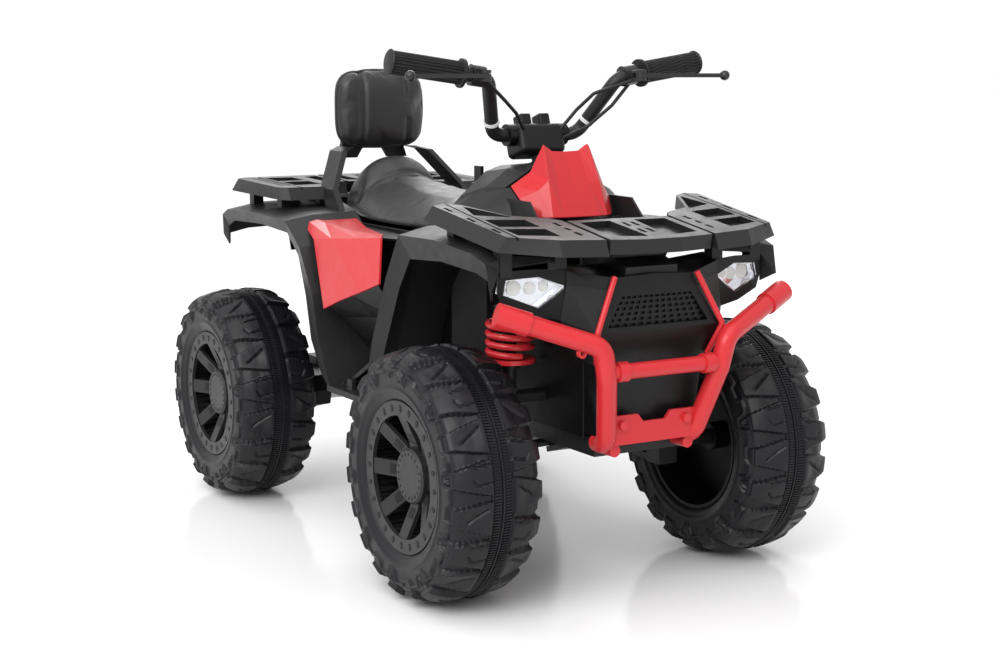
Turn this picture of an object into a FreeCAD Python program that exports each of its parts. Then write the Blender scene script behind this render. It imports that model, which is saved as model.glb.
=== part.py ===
import FreeCAD, Part
import math
import os

V = FreeCAD.Vector

# Everything is in millimetres: +X is forward, +Y is the rider's left, +Z is up.
# The tables are measured from the middle of the wheelbase at ground level.
# At the end every piece is moved so that the origin is under the middle of the whole bike.

# The shells, frame and racks are drawn for these three sizes and follow the real ones below.
DRAWN_WHEELBASE = 702.0
DRAWN_TRACK = 482.0
DRAWN_COLUMN_TOP_Z = 612.0

# Wheels
WHEELBASE = 702.0
TRACK = 482.0
TYRE_RADIUS = 175.0
TYRE_WALL_PROFILE = [(60.0, 104.0), (66.0, 118.0), (66.0, 146.0), (57.0, 159.0), (30.0, 164.0), (0.0, 166.0)]
TYRE_INNER_PROFILE = [(54.0, 104.0), (61.0, 119.0), (61.0, 144.0), (54.0, 154.5), (29.0, 159.0), (0.0, 161.0)]
LUG_COUNT = 18
LUG_INSIDE_RADIUS = 155.0
LUG_LENGTH = 38.0
LUG_INNER_Y = 34.0
LUG_OUTER_Y = 64.0
RIM_RADIUS = 104.0
RIM_BARREL_WALL = 5.0
RIM_HALF_WIDTH = 60.0
RIM_WEB_Y = -2.0
RIM_WEB_THICKNESS = 6.0
RIM_RING_WIDTH = 20.0
RIM_RING_THICKNESS = 6.0
HUB_RADIUS = 20.0
HUB_INNER_Y = -26.0
HUB_OUTER_Y = 36.0
SPOKE_COUNT = 8
SPOKE_WIDTH = 22.0
SPOKE_PROFILE = [(12.0, 27.0), (46.0, 34.0), (88.0, 54.0), (88.0, 60.0), (44.0, 40.0), (12.0, 33.0)]
RING_BOLT_COUNT = 24
RING_BOLT_RADIUS = 2.5
RING_BOLT_DEPTH = 2.0
CAP_RADIUS = 38.0
CAP_HEIGHT = 12.0
CAP_WALL = 4.0
CAP_EDGE = 3.0
AXLE_RADIUS = 7.0
RUNNING_FIT = 0.08
RUNNING_GAP = 0.4
NUT_RADIUS = 11.0
NUT_HEIGHT = 6.0

# Front suspension and steering
KINGPIN_INSET = 111.0
KINGPIN_RADIUS = 9.0
KINGPIN_TOP = 406.0
KNUCKLE_BOTTOM = 146.0
KNUCKLE_TOP = 230.0
KNUCKLE_HALF = 16.0
STUB_SHOULDER_RADIUS = 11.0
COLLAR_RADIUS = 14.0
COLLAR_HEIGHT = 8.0
SPRING_SEAT_Z = 318.0
SPRING_SEAT_HEIGHT = 6.0
SPRING_SEAT_RADIUS = 36.0
SPRING_MEAN_RADIUS = 30.0
SPRING_WIRE_RADIUS = 4.5
SPRING_TURNS = 4
ARM_LENGTH = 51.0
ARM_WIDTH = 18.0
ARM_THICKNESS = 9.0
TIE_PIN_RADIUS = 4.0
TIE_PIN_TOP = 200.0
TIE_ROD_RADIUS = 6.0
TIE_EYE_RADIUS = 10.0
TIE_EYE_HEIGHT = 12.0
TIE_EYE_PLAY = 1.2
TIE_EYE_Z = 182.0
PITMAN_PIN_Y = 16.0
PITMAN_WIDTH = 52.0
PITMAN_THICKNESS = 8.0
COLUMN_RADIUS = 9.0
COLUMN_BOTTOM_Z = 180.0
COLUMN_TOP_Z = 612.0
COLUMN_TOP_X = 205.0
COLUMN_BOSS_RADIUS = 20.0
COLUMN_CLEARANCE = 8.0

# Frame
RAIL_Y = 60.0
RAIL_SIZE = 25.0
RAIL_WALL = 2.0
RAIL_BOTTOM = 201.0
RAIL_FRONT_X = 470.0
RAIL_REAR_X = -390.0
TOWER_PLATE = 6.0
TOWER_HALF_LENGTH = 16.0
TOWER_REACH = 16.0
LOWER_GUIDE_Z = 262.0
UPPER_GUIDE_Z = 384.0
GUIDE_HEIGHT = 12.0
CROSS_TUBES_X = [-351.0, -170.0, 120.0]
AXLE_PLATE_Y = 112.0
AXLE_PLATE_BOTTOM = 155.0
AXLE_PLATE_HALF = 32.0
COLUMN_BRACKET_HALF = 26.0

# Body shells
SHELL = 3.5
TUB_BOTTOM = 226.0
TUB_FRONT_TOP = 420.0
TUB_REAR_OUTLINE = [(-330.0, 74.0), (-225.0, 74.0), (-165.0, 116.0), (160.0, 116.0)]
TUB_NECK_X = 206.0
TUB_FRONT_X = 462.0
TUB_SPRING_GAP = 12.0
FOOTBOARD_OUTLINE = [(-30.0, 116.0), (130.0, 116.0), (136.0, 228.0), (128.0, 236.0), (-22.0, 236.0)]
FOOTBOARD_BOTTOM = 226.0
FOOTBOARD_HEIGHT = 10.0
FOOT_RIB_COUNT = 9
FOOT_RIB_WIDTH = 6.0
FOOT_RIB_HEIGHT = 4.0
FOOT_RIB_INSET = 14.0

# Each fender row holds, from the wheel-arch lip inward, points (x, y, z) of one cross-section.
FRONT_FENDER = [
    [(122.0, 226.0, 229.0), (108.0, 236.0, 230.0), (102.0, 190.0, 230.0), (98.0, 113.0, 230.0)],
    [(160.0, 226.0, 318.0), (138.0, 237.0, 322.0), (132.0, 190.0, 328.0), (128.0, 113.0, 330.0)],
    [(208.0, 226.0, 412.0), (186.0, 237.0, 424.0), (176.0, 190.0, 434.0), (172.0, 108.0, 436.0)],
    [(240.0, 226.0, 455.0), (226.0, 237.0, 488.0), (222.0, 190.0, 498.0), (220.0, 108.0, 500.0)],
    [(330.0, 226.0, 460.0), (330.0, 238.0, 490.0), (330.0, 190.0, 499.0), (330.0, 108.0, 501.0)],
    [(426.0, 226.0, 454.0), (432.0, 238.0, 481.0), (432.0, 190.0, 488.0), (432.0, 112.0, 490.0)],
    [(452.0, 224.0, 446.0), (466.0, 236.0, 470.0), (460.0, 190.0, 478.0), (462.0, 118.0, 478.0)],
    [(456.0, 222.0, 420.0), (476.0, 234.0, 432.0), (464.0, 212.0, 462.0), (472.0, 122.0, 472.0)],
]
REAR_FENDER = [
    [(-486.0, 206.0, 412.0), (-492.0, 214.0, 430.0), (-490.0, 170.0, 440.0), (-490.0, 80.0, 444.0)],
    [(-470.0, 212.0, 446.0), (-474.0, 222.0, 466.0), (-470.0, 170.0, 478.0), (-470.0, 80.0, 482.0)],
    [(-430.0, 218.0, 458.0), (-430.0, 230.0, 478.0), (-430.0, 170.0, 489.0), (-430.0, 80.0, 491.0)],
    [(-300.0, 222.0, 462.0), (-300.0, 234.0, 482.0), (-300.0, 170.0, 491.0), (-300.0, 72.0, 493.0)],
    [(-194.0, 222.0, 456.0), (-176.0, 234.0, 477.0), (-176.0, 186.0, 485.0), (-176.0, 108.0, 488.0)],
    [(-152.0, 222.0, 424.0), (-116.0, 236.0, 440.0), (-112.0, 186.0, 446.0), (-110.0, 112.0, 448.0)],
    [(-126.0, 222.0, 362.0), (-70.0, 236.0, 370.0), (-66.0, 186.0, 372.0), (-64.0, 112.0, 374.0)],
    [(-108.0, 222.0, 294.0), (-52.0, 236.0, 304.0), (-48.0, 186.0, 306.0), (-46.0, 112.0, 308.0)],
    [(-66.0, 224.0, 244.0), (-24.0, 236.0, 256.0), (-20.0, 186.0, 258.0), (-18.0, 112.0, 260.0)],
    [(-34.0, 224.0, 227.0), (-8.0, 236.0, 229.0), (-4.0, 186.0, 229.0), (-2.0, 112.0, 229.0)],
]
SIDE_PANEL = [
    [(-262.0, 113.0, 476.0), (-163.0, 113.0, 474.0), (-30.0, 160.0, 471.0), (116.0, 205.0, 474.0)],
    [(-236.0, 184.0, 480.0), (-130.0, 184.0, 472.0), (-10.0, 196.0, 470.0), (126.0, 211.0, 475.0)],
    [(-98.0, 216.0, 453.0), (-30.0, 217.0, 459.0), (60.0, 217.0, 467.0), (138.0, 217.0, 475.0)],
    [(-36.0, 229.0, 352.0), (26.0, 230.0, 372.0), (92.0, 230.0, 391.0), (154.0, 229.0, 410.0)],
]
SIDE_KNEE = [
    [(-170.0, 113.0, 467.0), (-30.0, 113.0, 462.0), (122.0, 113.0, 458.0)],
    [(-164.0, 116.0, 471.0), (-30.0, 158.0, 468.0), (122.0, 207.0, 470.0)],
]
SIDE_SKIRT = [
    [(-34.0, 227.0, 362.0), (60.0, 227.0, 386.0), (144.0, 227.0, 412.0)],
    [(-30.0, 200.0, 340.0), (60.0, 190.0, 350.0), (140.0, 190.0, 356.0)],
    [(-20.0, 113.0, 236.0), (60.0, 113.0, 236.0), (106.0, 113.0, 236.0)],
]
FASCIA = [
    [(436.0, 0.0, 456.0), (436.0, 63.0, 457.0), (450.0, 124.0, 466.0)],
    [(508.0, 0.0, 449.0), (506.0, 63.0, 446.0), (482.0, 124.0, 457.0)],
    [(514.0, 0.0, 430.0), (512.0, 68.0, 428.0), (484.0, 124.0, 440.0)],
    [(520.0, 0.0, 376.0), (520.0, 100.0, 376.0), (482.0, 132.0, 392.0)],
    [(500.0, 0.0, 330.0), (500.0, 88.0, 330.0), (452.0, 80.0, 330.0)],
    [(492.0, 0.0, 232.0), (492.0, 78.0, 232.0), (452.0, 80.0, 232.0)],
]
HEADLIGHT_SURROUND = [
    [(481.0, 121.0, 458.0), (470.0, 165.0, 460.0), (462.0, 214.0, 458.0)],
    [(483.0, 121.0, 440.0), (474.0, 165.0, 436.0), (462.0, 216.0, 432.0)],
    [(482.0, 128.0, 392.0), (474.0, 168.0, 398.0), (464.0, 208.0, 412.0)],
]
HEADLIGHT_OUTLINE = [(122.0, 436.0), (160.0, 450.0), (204.0, 447.0), (208.0, 428.0), (160.0, 409.0)]
HEADLIGHT_BACK_X = 436.0
HEADLIGHT_FRONT_X = 520.0
REFLECTOR_INSET = 16.0
REFLECTOR_OPEN_SHARE = 0.9
LAMP_CENTRES = [(146.0, 436.0, 7.0), (165.0, 434.0, 8.5), (187.0, 435.0, 10.5)]
LAMP_DEPTH = 6.0
GRILLE_OUTLINE = [(-62.0, 424.0), (62.0, 424.0), (90.0, 380.0), (-90.0, 380.0)]
GRILLE_DEPTH = 5.0
GRILLE_BARS = 13
GRILLE_ROWS = 6
GRILLE_SLOT = 7.0
GRILLE_SLOT_HEIGHT = 4.0
GRILLE_POCKET = 3.0
GRILLE_FRONT_X = 513.0
GRILLE_OPENING_SHARE = 0.9
TRIM_PATH = [(511.8, 66.8, 448.0), (524.6, 101.9, 376.0), (506.0, 90.9, 334.0)]
TRIM_RADIUS = 4.0
COWL = [
    [(286.0, 0.0, 601.0), (287.0, 22.0, 602.0), (288.0, 38.0, 612.0),
     (276.0, 52.0, 573.0), (266.0, 78.0, 553.0)],
    [(308.0, 0.0, 556.0), (309.0, 26.0, 556.0), (310.0, 42.0, 562.0),
     (305.0, 56.0, 548.0), (286.0, 76.0, 536.0)],
    [(331.0, 0.0, 511.0), (331.0, 30.0, 511.0), (328.0, 46.0, 511.0),
     (320.0, 58.0, 511.0), (304.0, 70.0, 513.0)],
]
COWL_WING = [
    [(264.0, 78.0, 551.0), (228.0, 118.0, 540.0), (196.0, 146.0, 520.0)],
    [(284.0, 76.0, 534.0), (256.0, 124.0, 518.0), (212.0, 160.0, 508.0)],
    [(302.0, 70.0, 511.0), (270.0, 122.0, 504.0), (222.0, 168.0, 502.0)],
]
COWL_GUSSET = [
    [(266.0, 84.0, 536.0), (330.0, 84.0, 535.0)],
    [(262.0, 86.0, 500.0), (376.0, 86.0, 490.0)],
]
COWL_DECK = [
    [(298.0, 0.0, 513.0), (298.0, 112.0, 506.0)],
    [(430.0, 0.0, 480.0), (430.0, 112.0, 486.0)],
]
TANK = [
    [(284.0, 0.0, 597.0), (284.0, 24.0, 598.0), (270.0, 52.0, 570.0),
     (256.0, 78.0, 549.0), (230.0, 112.0, 494.0)],
    [(240.0, 0.0, 580.0), (240.0, 34.0, 578.0), (232.0, 60.0, 573.0),
     (218.0, 88.0, 548.0), (196.0, 114.0, 484.0)],
    [(176.0, 0.0, 576.0), (176.0, 40.0, 574.0), (172.0, 62.0, 566.0),
     (160.0, 96.0, 532.0), (150.0, 115.0, 471.0)],
    [(118.0, 0.0, 515.0), (117.0, 40.0, 514.0), (114.0, 72.0, 508.0),
     (110.0, 98.0, 498.0), (104.0, 115.0, 469.0)],
]
TAIL_PANEL = [
    [(-318.0, 0.0, 467.0), (-318.0, 90.0, 467.0)],
    [(-318.0, 0.0, 496.0), (-318.0, 90.0, 496.0)],
    [(-440.0, 0.0, 494.0), (-440.0, 90.0, 493.0)],
    [(-480.0, 0.0, 482.0), (-480.0, 90.0, 481.0)],
    [(-494.0, 0.0, 440.0), (-494.0, 90.0, 440.0)],
    [(-480.0, 0.0, 396.0), (-480.0, 90.0, 396.0)],
]

# Racks: local tables with x measured from the rear edge and y from the middle
RACK_THICKNESS = 20.0
RACK_FLARE = 12.0
RACK_RECESS_DEPTH = 9.0
RACK_GROOVE_DEPTH = 4.0
FRONT_RACK_REAR_X = 300.0
FRONT_RACK_REAR_Z = 534.0
FRONT_RACK_SLOPE_DEGREES = 9.0
FRONT_RACK_OUTLINE = [(116.0, 88.0), (98.0, 98.0), (76.0, 146.0), (4.0, 182.0), (-8.0, 204.0), (0.0, 224.0),
                      (182.0, 214.0), (211.0, 153.0), (222.0, 88.0)]
FRONT_RACK_CENTRE = [(118.0, 82.0), (224.0, 82.0), (231.0, 30.0)]
FRONT_RACK_BRIDGES_X = [132.0, 186.0]
RACK_BRIDGE_LENGTH = 20.0
RACK_BRIDGE_DROP = 8.0
FRONT_RACK_RECESSES = [
    [(12.0, 184.0), (64.0, 195.0), (84.0, 146.0), (74.0, 152.0)],
    [(100.0, 138.0), (90.0, 194.0), (130.0, 194.0), (140.0, 138.0)],
    [(152.0, 138.0), (142.0, 194.0), (176.0, 194.0), (192.0, 138.0)],
    [(16.0, 212.0), (38.0, 212.0), (38.0, 217.0), (16.0, 217.0)],
    [(76.0, 210.0), (98.0, 210.0), (98.0, 215.0), (76.0, 215.0)],
    [(138.0, 208.0), (160.0, 208.0), (160.0, 213.0), (138.0, 213.0)],
    [(124.0, 104.0), (142.0, 104.0), (142.0, 110.0), (124.0, 110.0)],
    [(152.0, 104.0), (166.0, 104.0), (166.0, 110.0), (152.0, 110.0)],
    [(176.0, 104.0), (194.0, 104.0), (194.0, 110.0), (176.0, 110.0)],
    [(128.0, 20.0), (216.0, 16.0), (206.0, 70.0), (130.0, 70.0)],
    [(140.0, 4.0), (160.0, 4.0), (160.0, 10.0), (140.0, 10.0)],
    [(176.0, 4.0), (196.0, 4.0), (196.0, 10.0), (176.0, 10.0)],
]
FRONT_RACK_GROOVE = [(-14.0, 200.0), (-14.0, 203.0), (200.0, 203.0), (200.0, 200.0)]
REAR_RACK_REAR_X = -452.0
REAR_RACK_REAR_Z = 530.0
REAR_RACK_SLOPE_DEGREES = 2.0
REAR_RACK_OUTLINE = [(-8.0, 52.0), (0.0, 190.0), (14.0, 206.0), (176.0, 204.0), (190.0, 190.0), (190.0, 106.0),
                     (120.0, 92.0), (120.0, 52.0)]
REAR_RACK_CENTRE = [(-10.0, 44.0), (120.0, 44.0)]
REAR_RACK_BRIDGES_X = [20.0, 90.0]
REAR_RACK_RECESSES = [
    [(24.0, 110.0), (80.0, 110.0), (80.0, 160.0), (24.0, 160.0)],
    [(96.0, 110.0), (152.0, 110.0), (152.0, 160.0), (96.0, 160.0)],
    [(20.0, 170.0), (160.0, 170.0), (160.0, 174.0), (20.0, 174.0)],
    [(20.0, 180.0), (156.0, 180.0), (156.0, 184.0), (20.0, 184.0)],
    [(14.0, 60.0), (104.0, 60.0), (96.0, 86.0), (24.0, 86.0)],
    [(12.0, 12.0), (104.0, 12.0), (96.0, 36.0), (20.0, 36.0)],
]
REAR_RACK_GROOVE = [(-12.0, 164.0), (-12.0, 167.0), (196.0, 167.0), (196.0, 164.0)]
POST_SIZE = 18.0
FRONT_SUPPORT = [(436.0, 496.0), (470.0, 490.0), (470.0, 468.0), (501.0, 458.0), (501.0, 440.0), (436.0, 446.0)]
FRONT_SUPPORT_HALF_WIDTH = 42.0
FRONT_POSTS = [(332.0, 204.0), (456.0, 204.0), (420.0, 128.0), (468.0, 128.0)]
REAR_POSTS = [(-420.0, 180.0), (-300.0, 180.0), (-420.0, 110.0), (-300.0, 110.0)]

# Front bumper
BUMPER_TUBE_RADIUS = 13.5
BUMPER_BEND = 24.0
BUMPER_PATH = [(490.0, 234.0, 408.0), (537.0, 101.0, 361.0), (533.0, 92.0, 318.0), (502.0, 71.0, 222.0),
               (477.0, 68.0, 222.0)]
BUMPER_CAP_RADIUS = 16.0
BUMPER_CAP_LENGTH = 45.0
EYELET_Y = 128.0
EYELET_DROP = 16.0
EYELET_RADIUS = 6.5
EYELET_HOLE = 3.2
EYELET_LENGTH = 6.0
CROSSBAR_Z = 326.0
BUMPER_STAY_RADIUS = 8.3
CROSSBAR_RADIUS = 10.5
COLLAR_BAR_RADIUS = 13.5
COLLAR_BAR_Y = 70.0
COLLAR_BAR_LENGTH = 16.0
BUMPER_PLATE = [(-78.0, 262.0), (-27.0, 262.0), (-18.0, 251.0), (18.0, 251.0), (27.0, 262.0), (78.0, 262.0),
                (68.0, 222.0), (-68.0, 222.0)]
BUMPER_PLATE_THICKNESS = 5.0
BUMPER_PLATE_X = 512.0
BUMPER_BOLT_Y = 52.0
BUMPER_BOLT_Z = 249.0
BOLT_HEAD_RADIUS = 6.5
BOLT_HEAD_HEIGHT = 5.0

# Seat and backrest
SEAT_STATIONS = [
    (-306.0, 56.0, 532.0), (-296.0, 70.0, 552.0), (-268.0, 80.0, 569.0), (-236.0, 84.0, 572.0),
    (-206.0, 94.0, 541.0), (-170.0, 104.0, 530.0), (-110.0, 115.0, 523.0), (-40.0, 119.0, 516.0),
    (40.0, 112.0, 513.0), (90.0, 97.0, 511.0), (107.0, 80.0, 506.0),
]
SEAT_BOTTOM = 472.0
SEAT_SECTION_SHARES = [
    (0.0, 1.0), (0.36, 0.96), (0.64, 0.82), (0.84, 0.6), (0.97, 0.32), (1.0, 0.13), (0.96, 0.0),
]
PAD_CENTRE_X = -304.0
PAD_CENTRE_Z = 650.0
PAD_HALF_WIDTH = 84.0
PAD_HALF_HEIGHT = 67.0
PAD_LAYERS = [(-24.0, 0.82), (-19.0, 0.95), (-6.0, 1.0), (8.0, 1.0), (20.0, 0.94), (26.0, 0.8)]
PAD_SQUARENESS_SHARE = 0.42
PAD_POINTS = 28
BRACKET_ARM = [(-337.0, 54.0, 586.0), (-320.0, 76.0, 580.0), (-274.0, 116.0, 520.0), (-222.0, 122.0, 470.0)]
BRACKET_WIDTH = 50.0
BRACKET_THICKNESS = 10.0
BRACKET_BACK = [(-44.0, 690.0), (44.0, 690.0), (58.0, 590.0), (66.0, 566.0), (30.0, 566.0), (20.0, 582.0),
                (-20.0, 582.0), (-30.0, 566.0), (-66.0, 566.0), (-58.0, 590.0)]

# Drive
BATTERY = (150.0, 98.0, 95.0)
BATTERY_X = -90.0
CONTROL_BOX = (70.0, 100.0, 34.0)
CONTROL_BOX_X = 70.0
GEARBOX_Y = 118.0
GEARBOX_THICKNESS = 44.0
GEARBOX_OUTLINE = [(-386.0, 158.0), (-370.0, 142.0), (-310.0, 142.0), (-262.0, 154.0), (-256.0, 178.0),
                   (-266.0, 204.0), (-330.0, 212.0), (-376.0, 204.0)]
MOTOR_X = -288.0
MOTOR_Z = 178.0
MOTOR_RADIUS = 20.0
MOTOR_LENGTH = 42.0

# Handlebar and controls
BAR_RADIUS = 10.0
BAR_BORE = 8.0
BAR_BEND = 24.0
# Paths and places measured from the top of the steering column
BAR_PATH = [(40.0, 256.0, 114.0), (53.0, 110.0, 93.0), (0.0, 72.0, 10.0)]
GRIP_RADIUS = 16.0
GRIP_LENGTH = 108.0
GRIP_FLANGE_RADIUS = 21.0
GRIP_FLANGE_LENGTH = 5.0
GRIP_END = 4.0
COVER_HALF_WIDTH = 38.0
COVER_HALF_LENGTH = 24.0
COVER_BELOW = 22.0
COVER_ABOVE = 22.0
COVER_CORNER = 8.0
COVER_BLOCK = (24.0, 18.0, 36.0)
COVER_BLOCK_Y = 16.0
COVER_BLOCK_CORNER = 3.0
COVER_SLEEVE_RADIUS = 16.0
COVER_SLEEVE_Y = 50.0
PERCH_ALONG = 128.0
PERCH_LENGTH = 20.0
PERCH_RADIUS = 15.0
PERCH_REACH = 30.0
PERCH_HEIGHT = 16.0
LEVER_TIP = (109.0, 262.0, 92.0)
LEVER_TIP_SHARE = 0.6
LEVER_THICKNESS = 6.0
LEVER_WIDTH = 14.0
LEVER_BALL_RADIUS = 7.5
LEVER_PIN_RADIUS = 3.0
LEVER_BOSS_RADIUS = 8.0
CABLE_RADIUS = 2.6
CABLE_BEND = 14.0
CABLE_RIGHT = [(70.0, 122.0, 88.0), (57.0, 84.0, 60.0), (30.0, 50.0, 42.0), (16.0, 28.0, 16.0)]
CABLE_LEFT = [(70.0, 122.0, 88.0), (47.0, 72.0, 70.0), (28.0, 54.0, 46.0), (16.0, 32.0, 16.0)]
CABLE_LEFT_LOW = [(57.0, 126.0, 83.0), (46.0, 104.0, 52.0), (34.0, 70.0, 22.0), (18.0, 34.0, 4.0)]
TIE_ALONG_SHARE = 0.76
TIE_WIDTH = 5.0
TIE_WALL = 1.6

# Pedal and key
PEDAL_X = 34.0
PEDAL_Y = 188.0
PEDAL_SIZE = (70.0, 56.0, 7.0)
PEDAL_TILT_DEGREES = 28.0
PEDAL_PIN_RADIUS = 3.0
PEDAL_HINGE_Z = 246.0
PEDAL_LUG = 8.0
KEY_X = 134.0
KEY_Y = 54.0
KEY_Z = 541.0
KEY_RADIUS = 11.0
KEY_HEIGHT = 24.0
KEY_WIDTH = 20.0
KEY_THICKNESS = 5.0
KEY_SWITCH_HEIGHT = 9.0

# Derived places
FRONT_X = WHEELBASE / 2
REAR_X = -WHEELBASE / 2
WHEEL_Y = TRACK / 2
KINGPIN_Y = WHEEL_Y - KINGPIN_INSET
AXLE_Z = TYRE_RADIUS
TUB_FLOOR = TUB_BOTTOM + SHELL
LEFT, RIGHT = 1, -1


def along(x):
    """A drawn place along the bike, at the real wheelbase."""
    return x * WHEELBASE / DRAWN_WHEELBASE


def across(y):
    """A drawn place across the bike, at the real track."""
    return y * TRACK / DRAWN_TRACK


def place(point):
    return V(along(point[0]), across(point[1]), point[2])


def lifted(z):
    """A drawn height; what stands above the seat's base follows the top of the column."""
    share = (COLUMN_TOP_Z - SEAT_BOTTOM) / (DRAWN_COLUMN_TOP_Z - SEAT_BOTTOM)
    return SEAT_BOTTOM + (z - SEAT_BOTTOM) * share if z > SEAT_BOTTOM else z


def raised(table):
    return [[(x, y, lifted(z)) for x, y, z in row] for row in table]


COLUMN_RAKE = math.atan2(FRONT_X - along(COLUMN_TOP_X) - COLUMN_RADIUS, COLUMN_TOP_Z - COLUMN_BOTTOM_Z)
COLUMN_AXIS = V(-math.sin(COLUMN_RAKE), 0, math.cos(COLUMN_RAKE))
COLUMN_TOP = V(along(COLUMN_TOP_X), 0, COLUMN_TOP_Z)
BRACKET_BACK_X = along(PAD_CENTRE_X) + PAD_LAYERS[0][0]


def over_column(point):
    """A place measured from the top of the steering column."""
    return COLUMN_TOP + V(*point)


def column_point(z):
    """Point of the steering axis at a given height."""
    drop = (COLUMN_TOP_Z - z) / COLUMN_AXIS.z
    return COLUMN_TOP - COLUMN_AXIS * drop


def mirrored(shape):
    """Copy of a shape on the other side of the bike."""
    return shape.mirror(V(0, 0, 0), V(0, 1, 0))


def pair(shape):
    """A left shape together with its mirror image, as two separate solids."""
    return Part.makeCompound([shape, mirrored(shape)])


def box(x0, x1, y0, y1, z0, z1):
    return Part.makeBox(x1 - x0, y1 - y0, z1 - z0, V(x0, y0, z0))


def centred_box(middle, size):
    half = V(*size) / 2
    return Part.makeBox(size[0], size[1], size[2], middle - half)


def rod(start, end, radius):
    """Round bar between two points."""
    run = end - start
    return Part.makeCylinder(radius, run.Length, start, run)


def ring(start, end, outer, inner):
    return rod(start, end, outer).cut(rod(start, end, inner))


def prism(points, run):
    """Straight prism on a flat outline."""
    closed = list(points) + [points[0]]
    return Part.Face(Part.makePolygon(closed)).extrude(run)


def plan_prism(outline, z0, z1):
    return prism([place((x, y, z0)) for x, y in outline], V(0, 0, z1 - z0))


def front_prism(outline, x0, x1):
    return prism([V(x0, across(y), z) for y, z in outline], V(x1 - x0, 0, 0))


def side_prism(outline, y0, y1):
    return prism([V(along(x), y0, z) for x, z in outline], V(0, y1 - y0, 0))


def both_sides(outline):
    """Closed plan outline from its left half."""
    return [(x, y) for x, y in outline] + [(x, -y) for x, y in reversed(outline)]


def path_wire(points, bend):
    """Straight runs joined by tangent arcs of one bend radius."""
    edges = []
    here = points[0]
    for before, corner, after in zip(points, points[1:], points[2:]):
        back = (before - corner).normalize()
        ahead = (after - corner).normalize()
        half = back.getAngle(ahead) / 2
        reach = bend / math.tan(half)
        first = corner + back * reach
        last = corner + ahead * reach
        inward = (back + ahead).normalize()
        middle = corner + inward * (bend / math.sin(half) - bend)
        edges.append(Part.makeLine(here, first))
        edges.append(Part.Arc(first, middle, last).toShape())
        here = last
    edges.append(Part.makeLine(here, points[-1]))
    return Part.Wire(edges)


def tube(points, radius, bend):
    """Solid round tube along a bent path."""
    wire = path_wire(points, bend)
    start = points[0]
    circle = Part.Wire(Part.makeCircle(radius, start, points[1] - start))
    return wire.makePipeShell([circle], True, True)


def hollow_tube(points, radius, bore, bend):
    return tube(points, radius, bend).cut(tube(points, bore, bend))


def mirrored_path(points):
    """Full-width path of the bar from its left half, left end first."""
    left = [over_column(p) for p in points]
    right = [V(p.x, -p.y, p.z) for p in reversed(left)]
    return left + right


def solid_of(faces):
    """Closed solid from triangles."""
    skin = Part.makeShell([Part.Face(Part.makePolygon([a, b, c, a])) for a, b, c in faces])
    body = Part.makeSolid(skin)
    if body.Volume < 0:
        body.reverse()
    return body


def quad(a, b, c, d):
    return [(a, b, c), (a, c, d)]


def corner_normal(rows, i, j):
    """Unit normal of a point grid at one of its points."""
    above = rows[max(i - 1, 0)][j]
    below = rows[min(i + 1, len(rows) - 1)][j]
    before = rows[i][max(j - 1, 0)]
    after = rows[i][min(j + 1, len(rows[i]) - 1)]
    return (below - above).cross(after - before).normalize()


def panel(table, thickness):
    """Moulded sheet through a grid of points, thickened along its normals."""
    outer = [[place(p) for p in row] for row in table]
    inner = [
        [p - corner_normal(outer, i, j) * thickness for j, p in enumerate(row)]
        for i, row in enumerate(outer)
    ]
    last_row = len(outer) - 1
    last = len(outer[0]) - 1
    faces = []
    for i in range(last_row):
        for j in range(last):
            faces += quad(outer[i][j], outer[i][j + 1], outer[i + 1][j + 1], outer[i + 1][j])
            faces += quad(inner[i][j], inner[i + 1][j], inner[i + 1][j + 1], inner[i][j + 1])
    for j in range(last):
        faces += quad(outer[0][j], inner[0][j], inner[0][j + 1], outer[0][j + 1])
        faces += quad(outer[last_row][j], outer[last_row][j + 1], inner[last_row][j + 1], inner[last_row][j])
    for i in range(last_row):
        faces += quad(outer[i][0], outer[i + 1][0], inner[i + 1][0], inner[i][0])
        faces += quad(outer[i][last], inner[i][last], inner[i + 1][last], outer[i + 1][last])
    return solid_of(faces)


def full_width(table):
    """Rows from right to left, made from rows that run from the middle to the left."""
    return [[(x, -y, z) for x, y, z in reversed(row) if y > 0] + list(row) for row in table]


def trimmed(shape, *others):
    """A shape without what its neighbours take up; the largest piece is kept."""
    for other in others:
        shape = shape.cut(other)
    return max(shape.Solids, key=lambda solid: solid.Volume)


def turned(shape, centre, axis, degrees):
    copy = shape.copy()
    copy.rotate(centre, axis, degrees)
    return copy


def around_y(shape, count):
    return [turned(shape, V(0, 0, 0), V(0, 1, 0), 360.0 * i / count) for i in range(count)]


def revolved(profile):
    """Ring about the Y axis from a closed (y, radius) profile."""
    points = [V(0, y, radius) for y, radius in profile]
    face = Part.Face(Part.makePolygon(points + [points[0]]))
    return face.revolve(V(0, 0, 0), V(0, 1, 0), 360)


# Wheel pieces stand about the Y axis with +Y outboard
def tyre():
    def whole(half):
        return [(-y, r) for y, r in half[:-1]] + [(y, r) for y, r in reversed(half)]
    carcass = revolved(whole(TYRE_WALL_PROFILE) + list(reversed(whole(TYRE_INNER_PROFILE))))
    outer = math.sqrt(TYRE_RADIUS ** 2 - (LUG_LENGTH / 2) ** 2)
    lug = box(-LUG_LENGTH / 2, LUG_LENGTH / 2, LUG_INNER_Y, LUG_OUTER_Y, LUG_INSIDE_RADIUS, outer)
    outboard = around_y(lug, LUG_COUNT)
    half_step = 180.0 / LUG_COUNT
    inboard = [turned(mirrored(one), V(0, 0, 0), V(0, 1, 0), half_step) for one in outboard]
    solid = carcass.multiFuse(outboard + inboard)
    hollow = revolved(whole(TYRE_INNER_PROFILE))
    return trimmed(solid, hollow)


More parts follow.
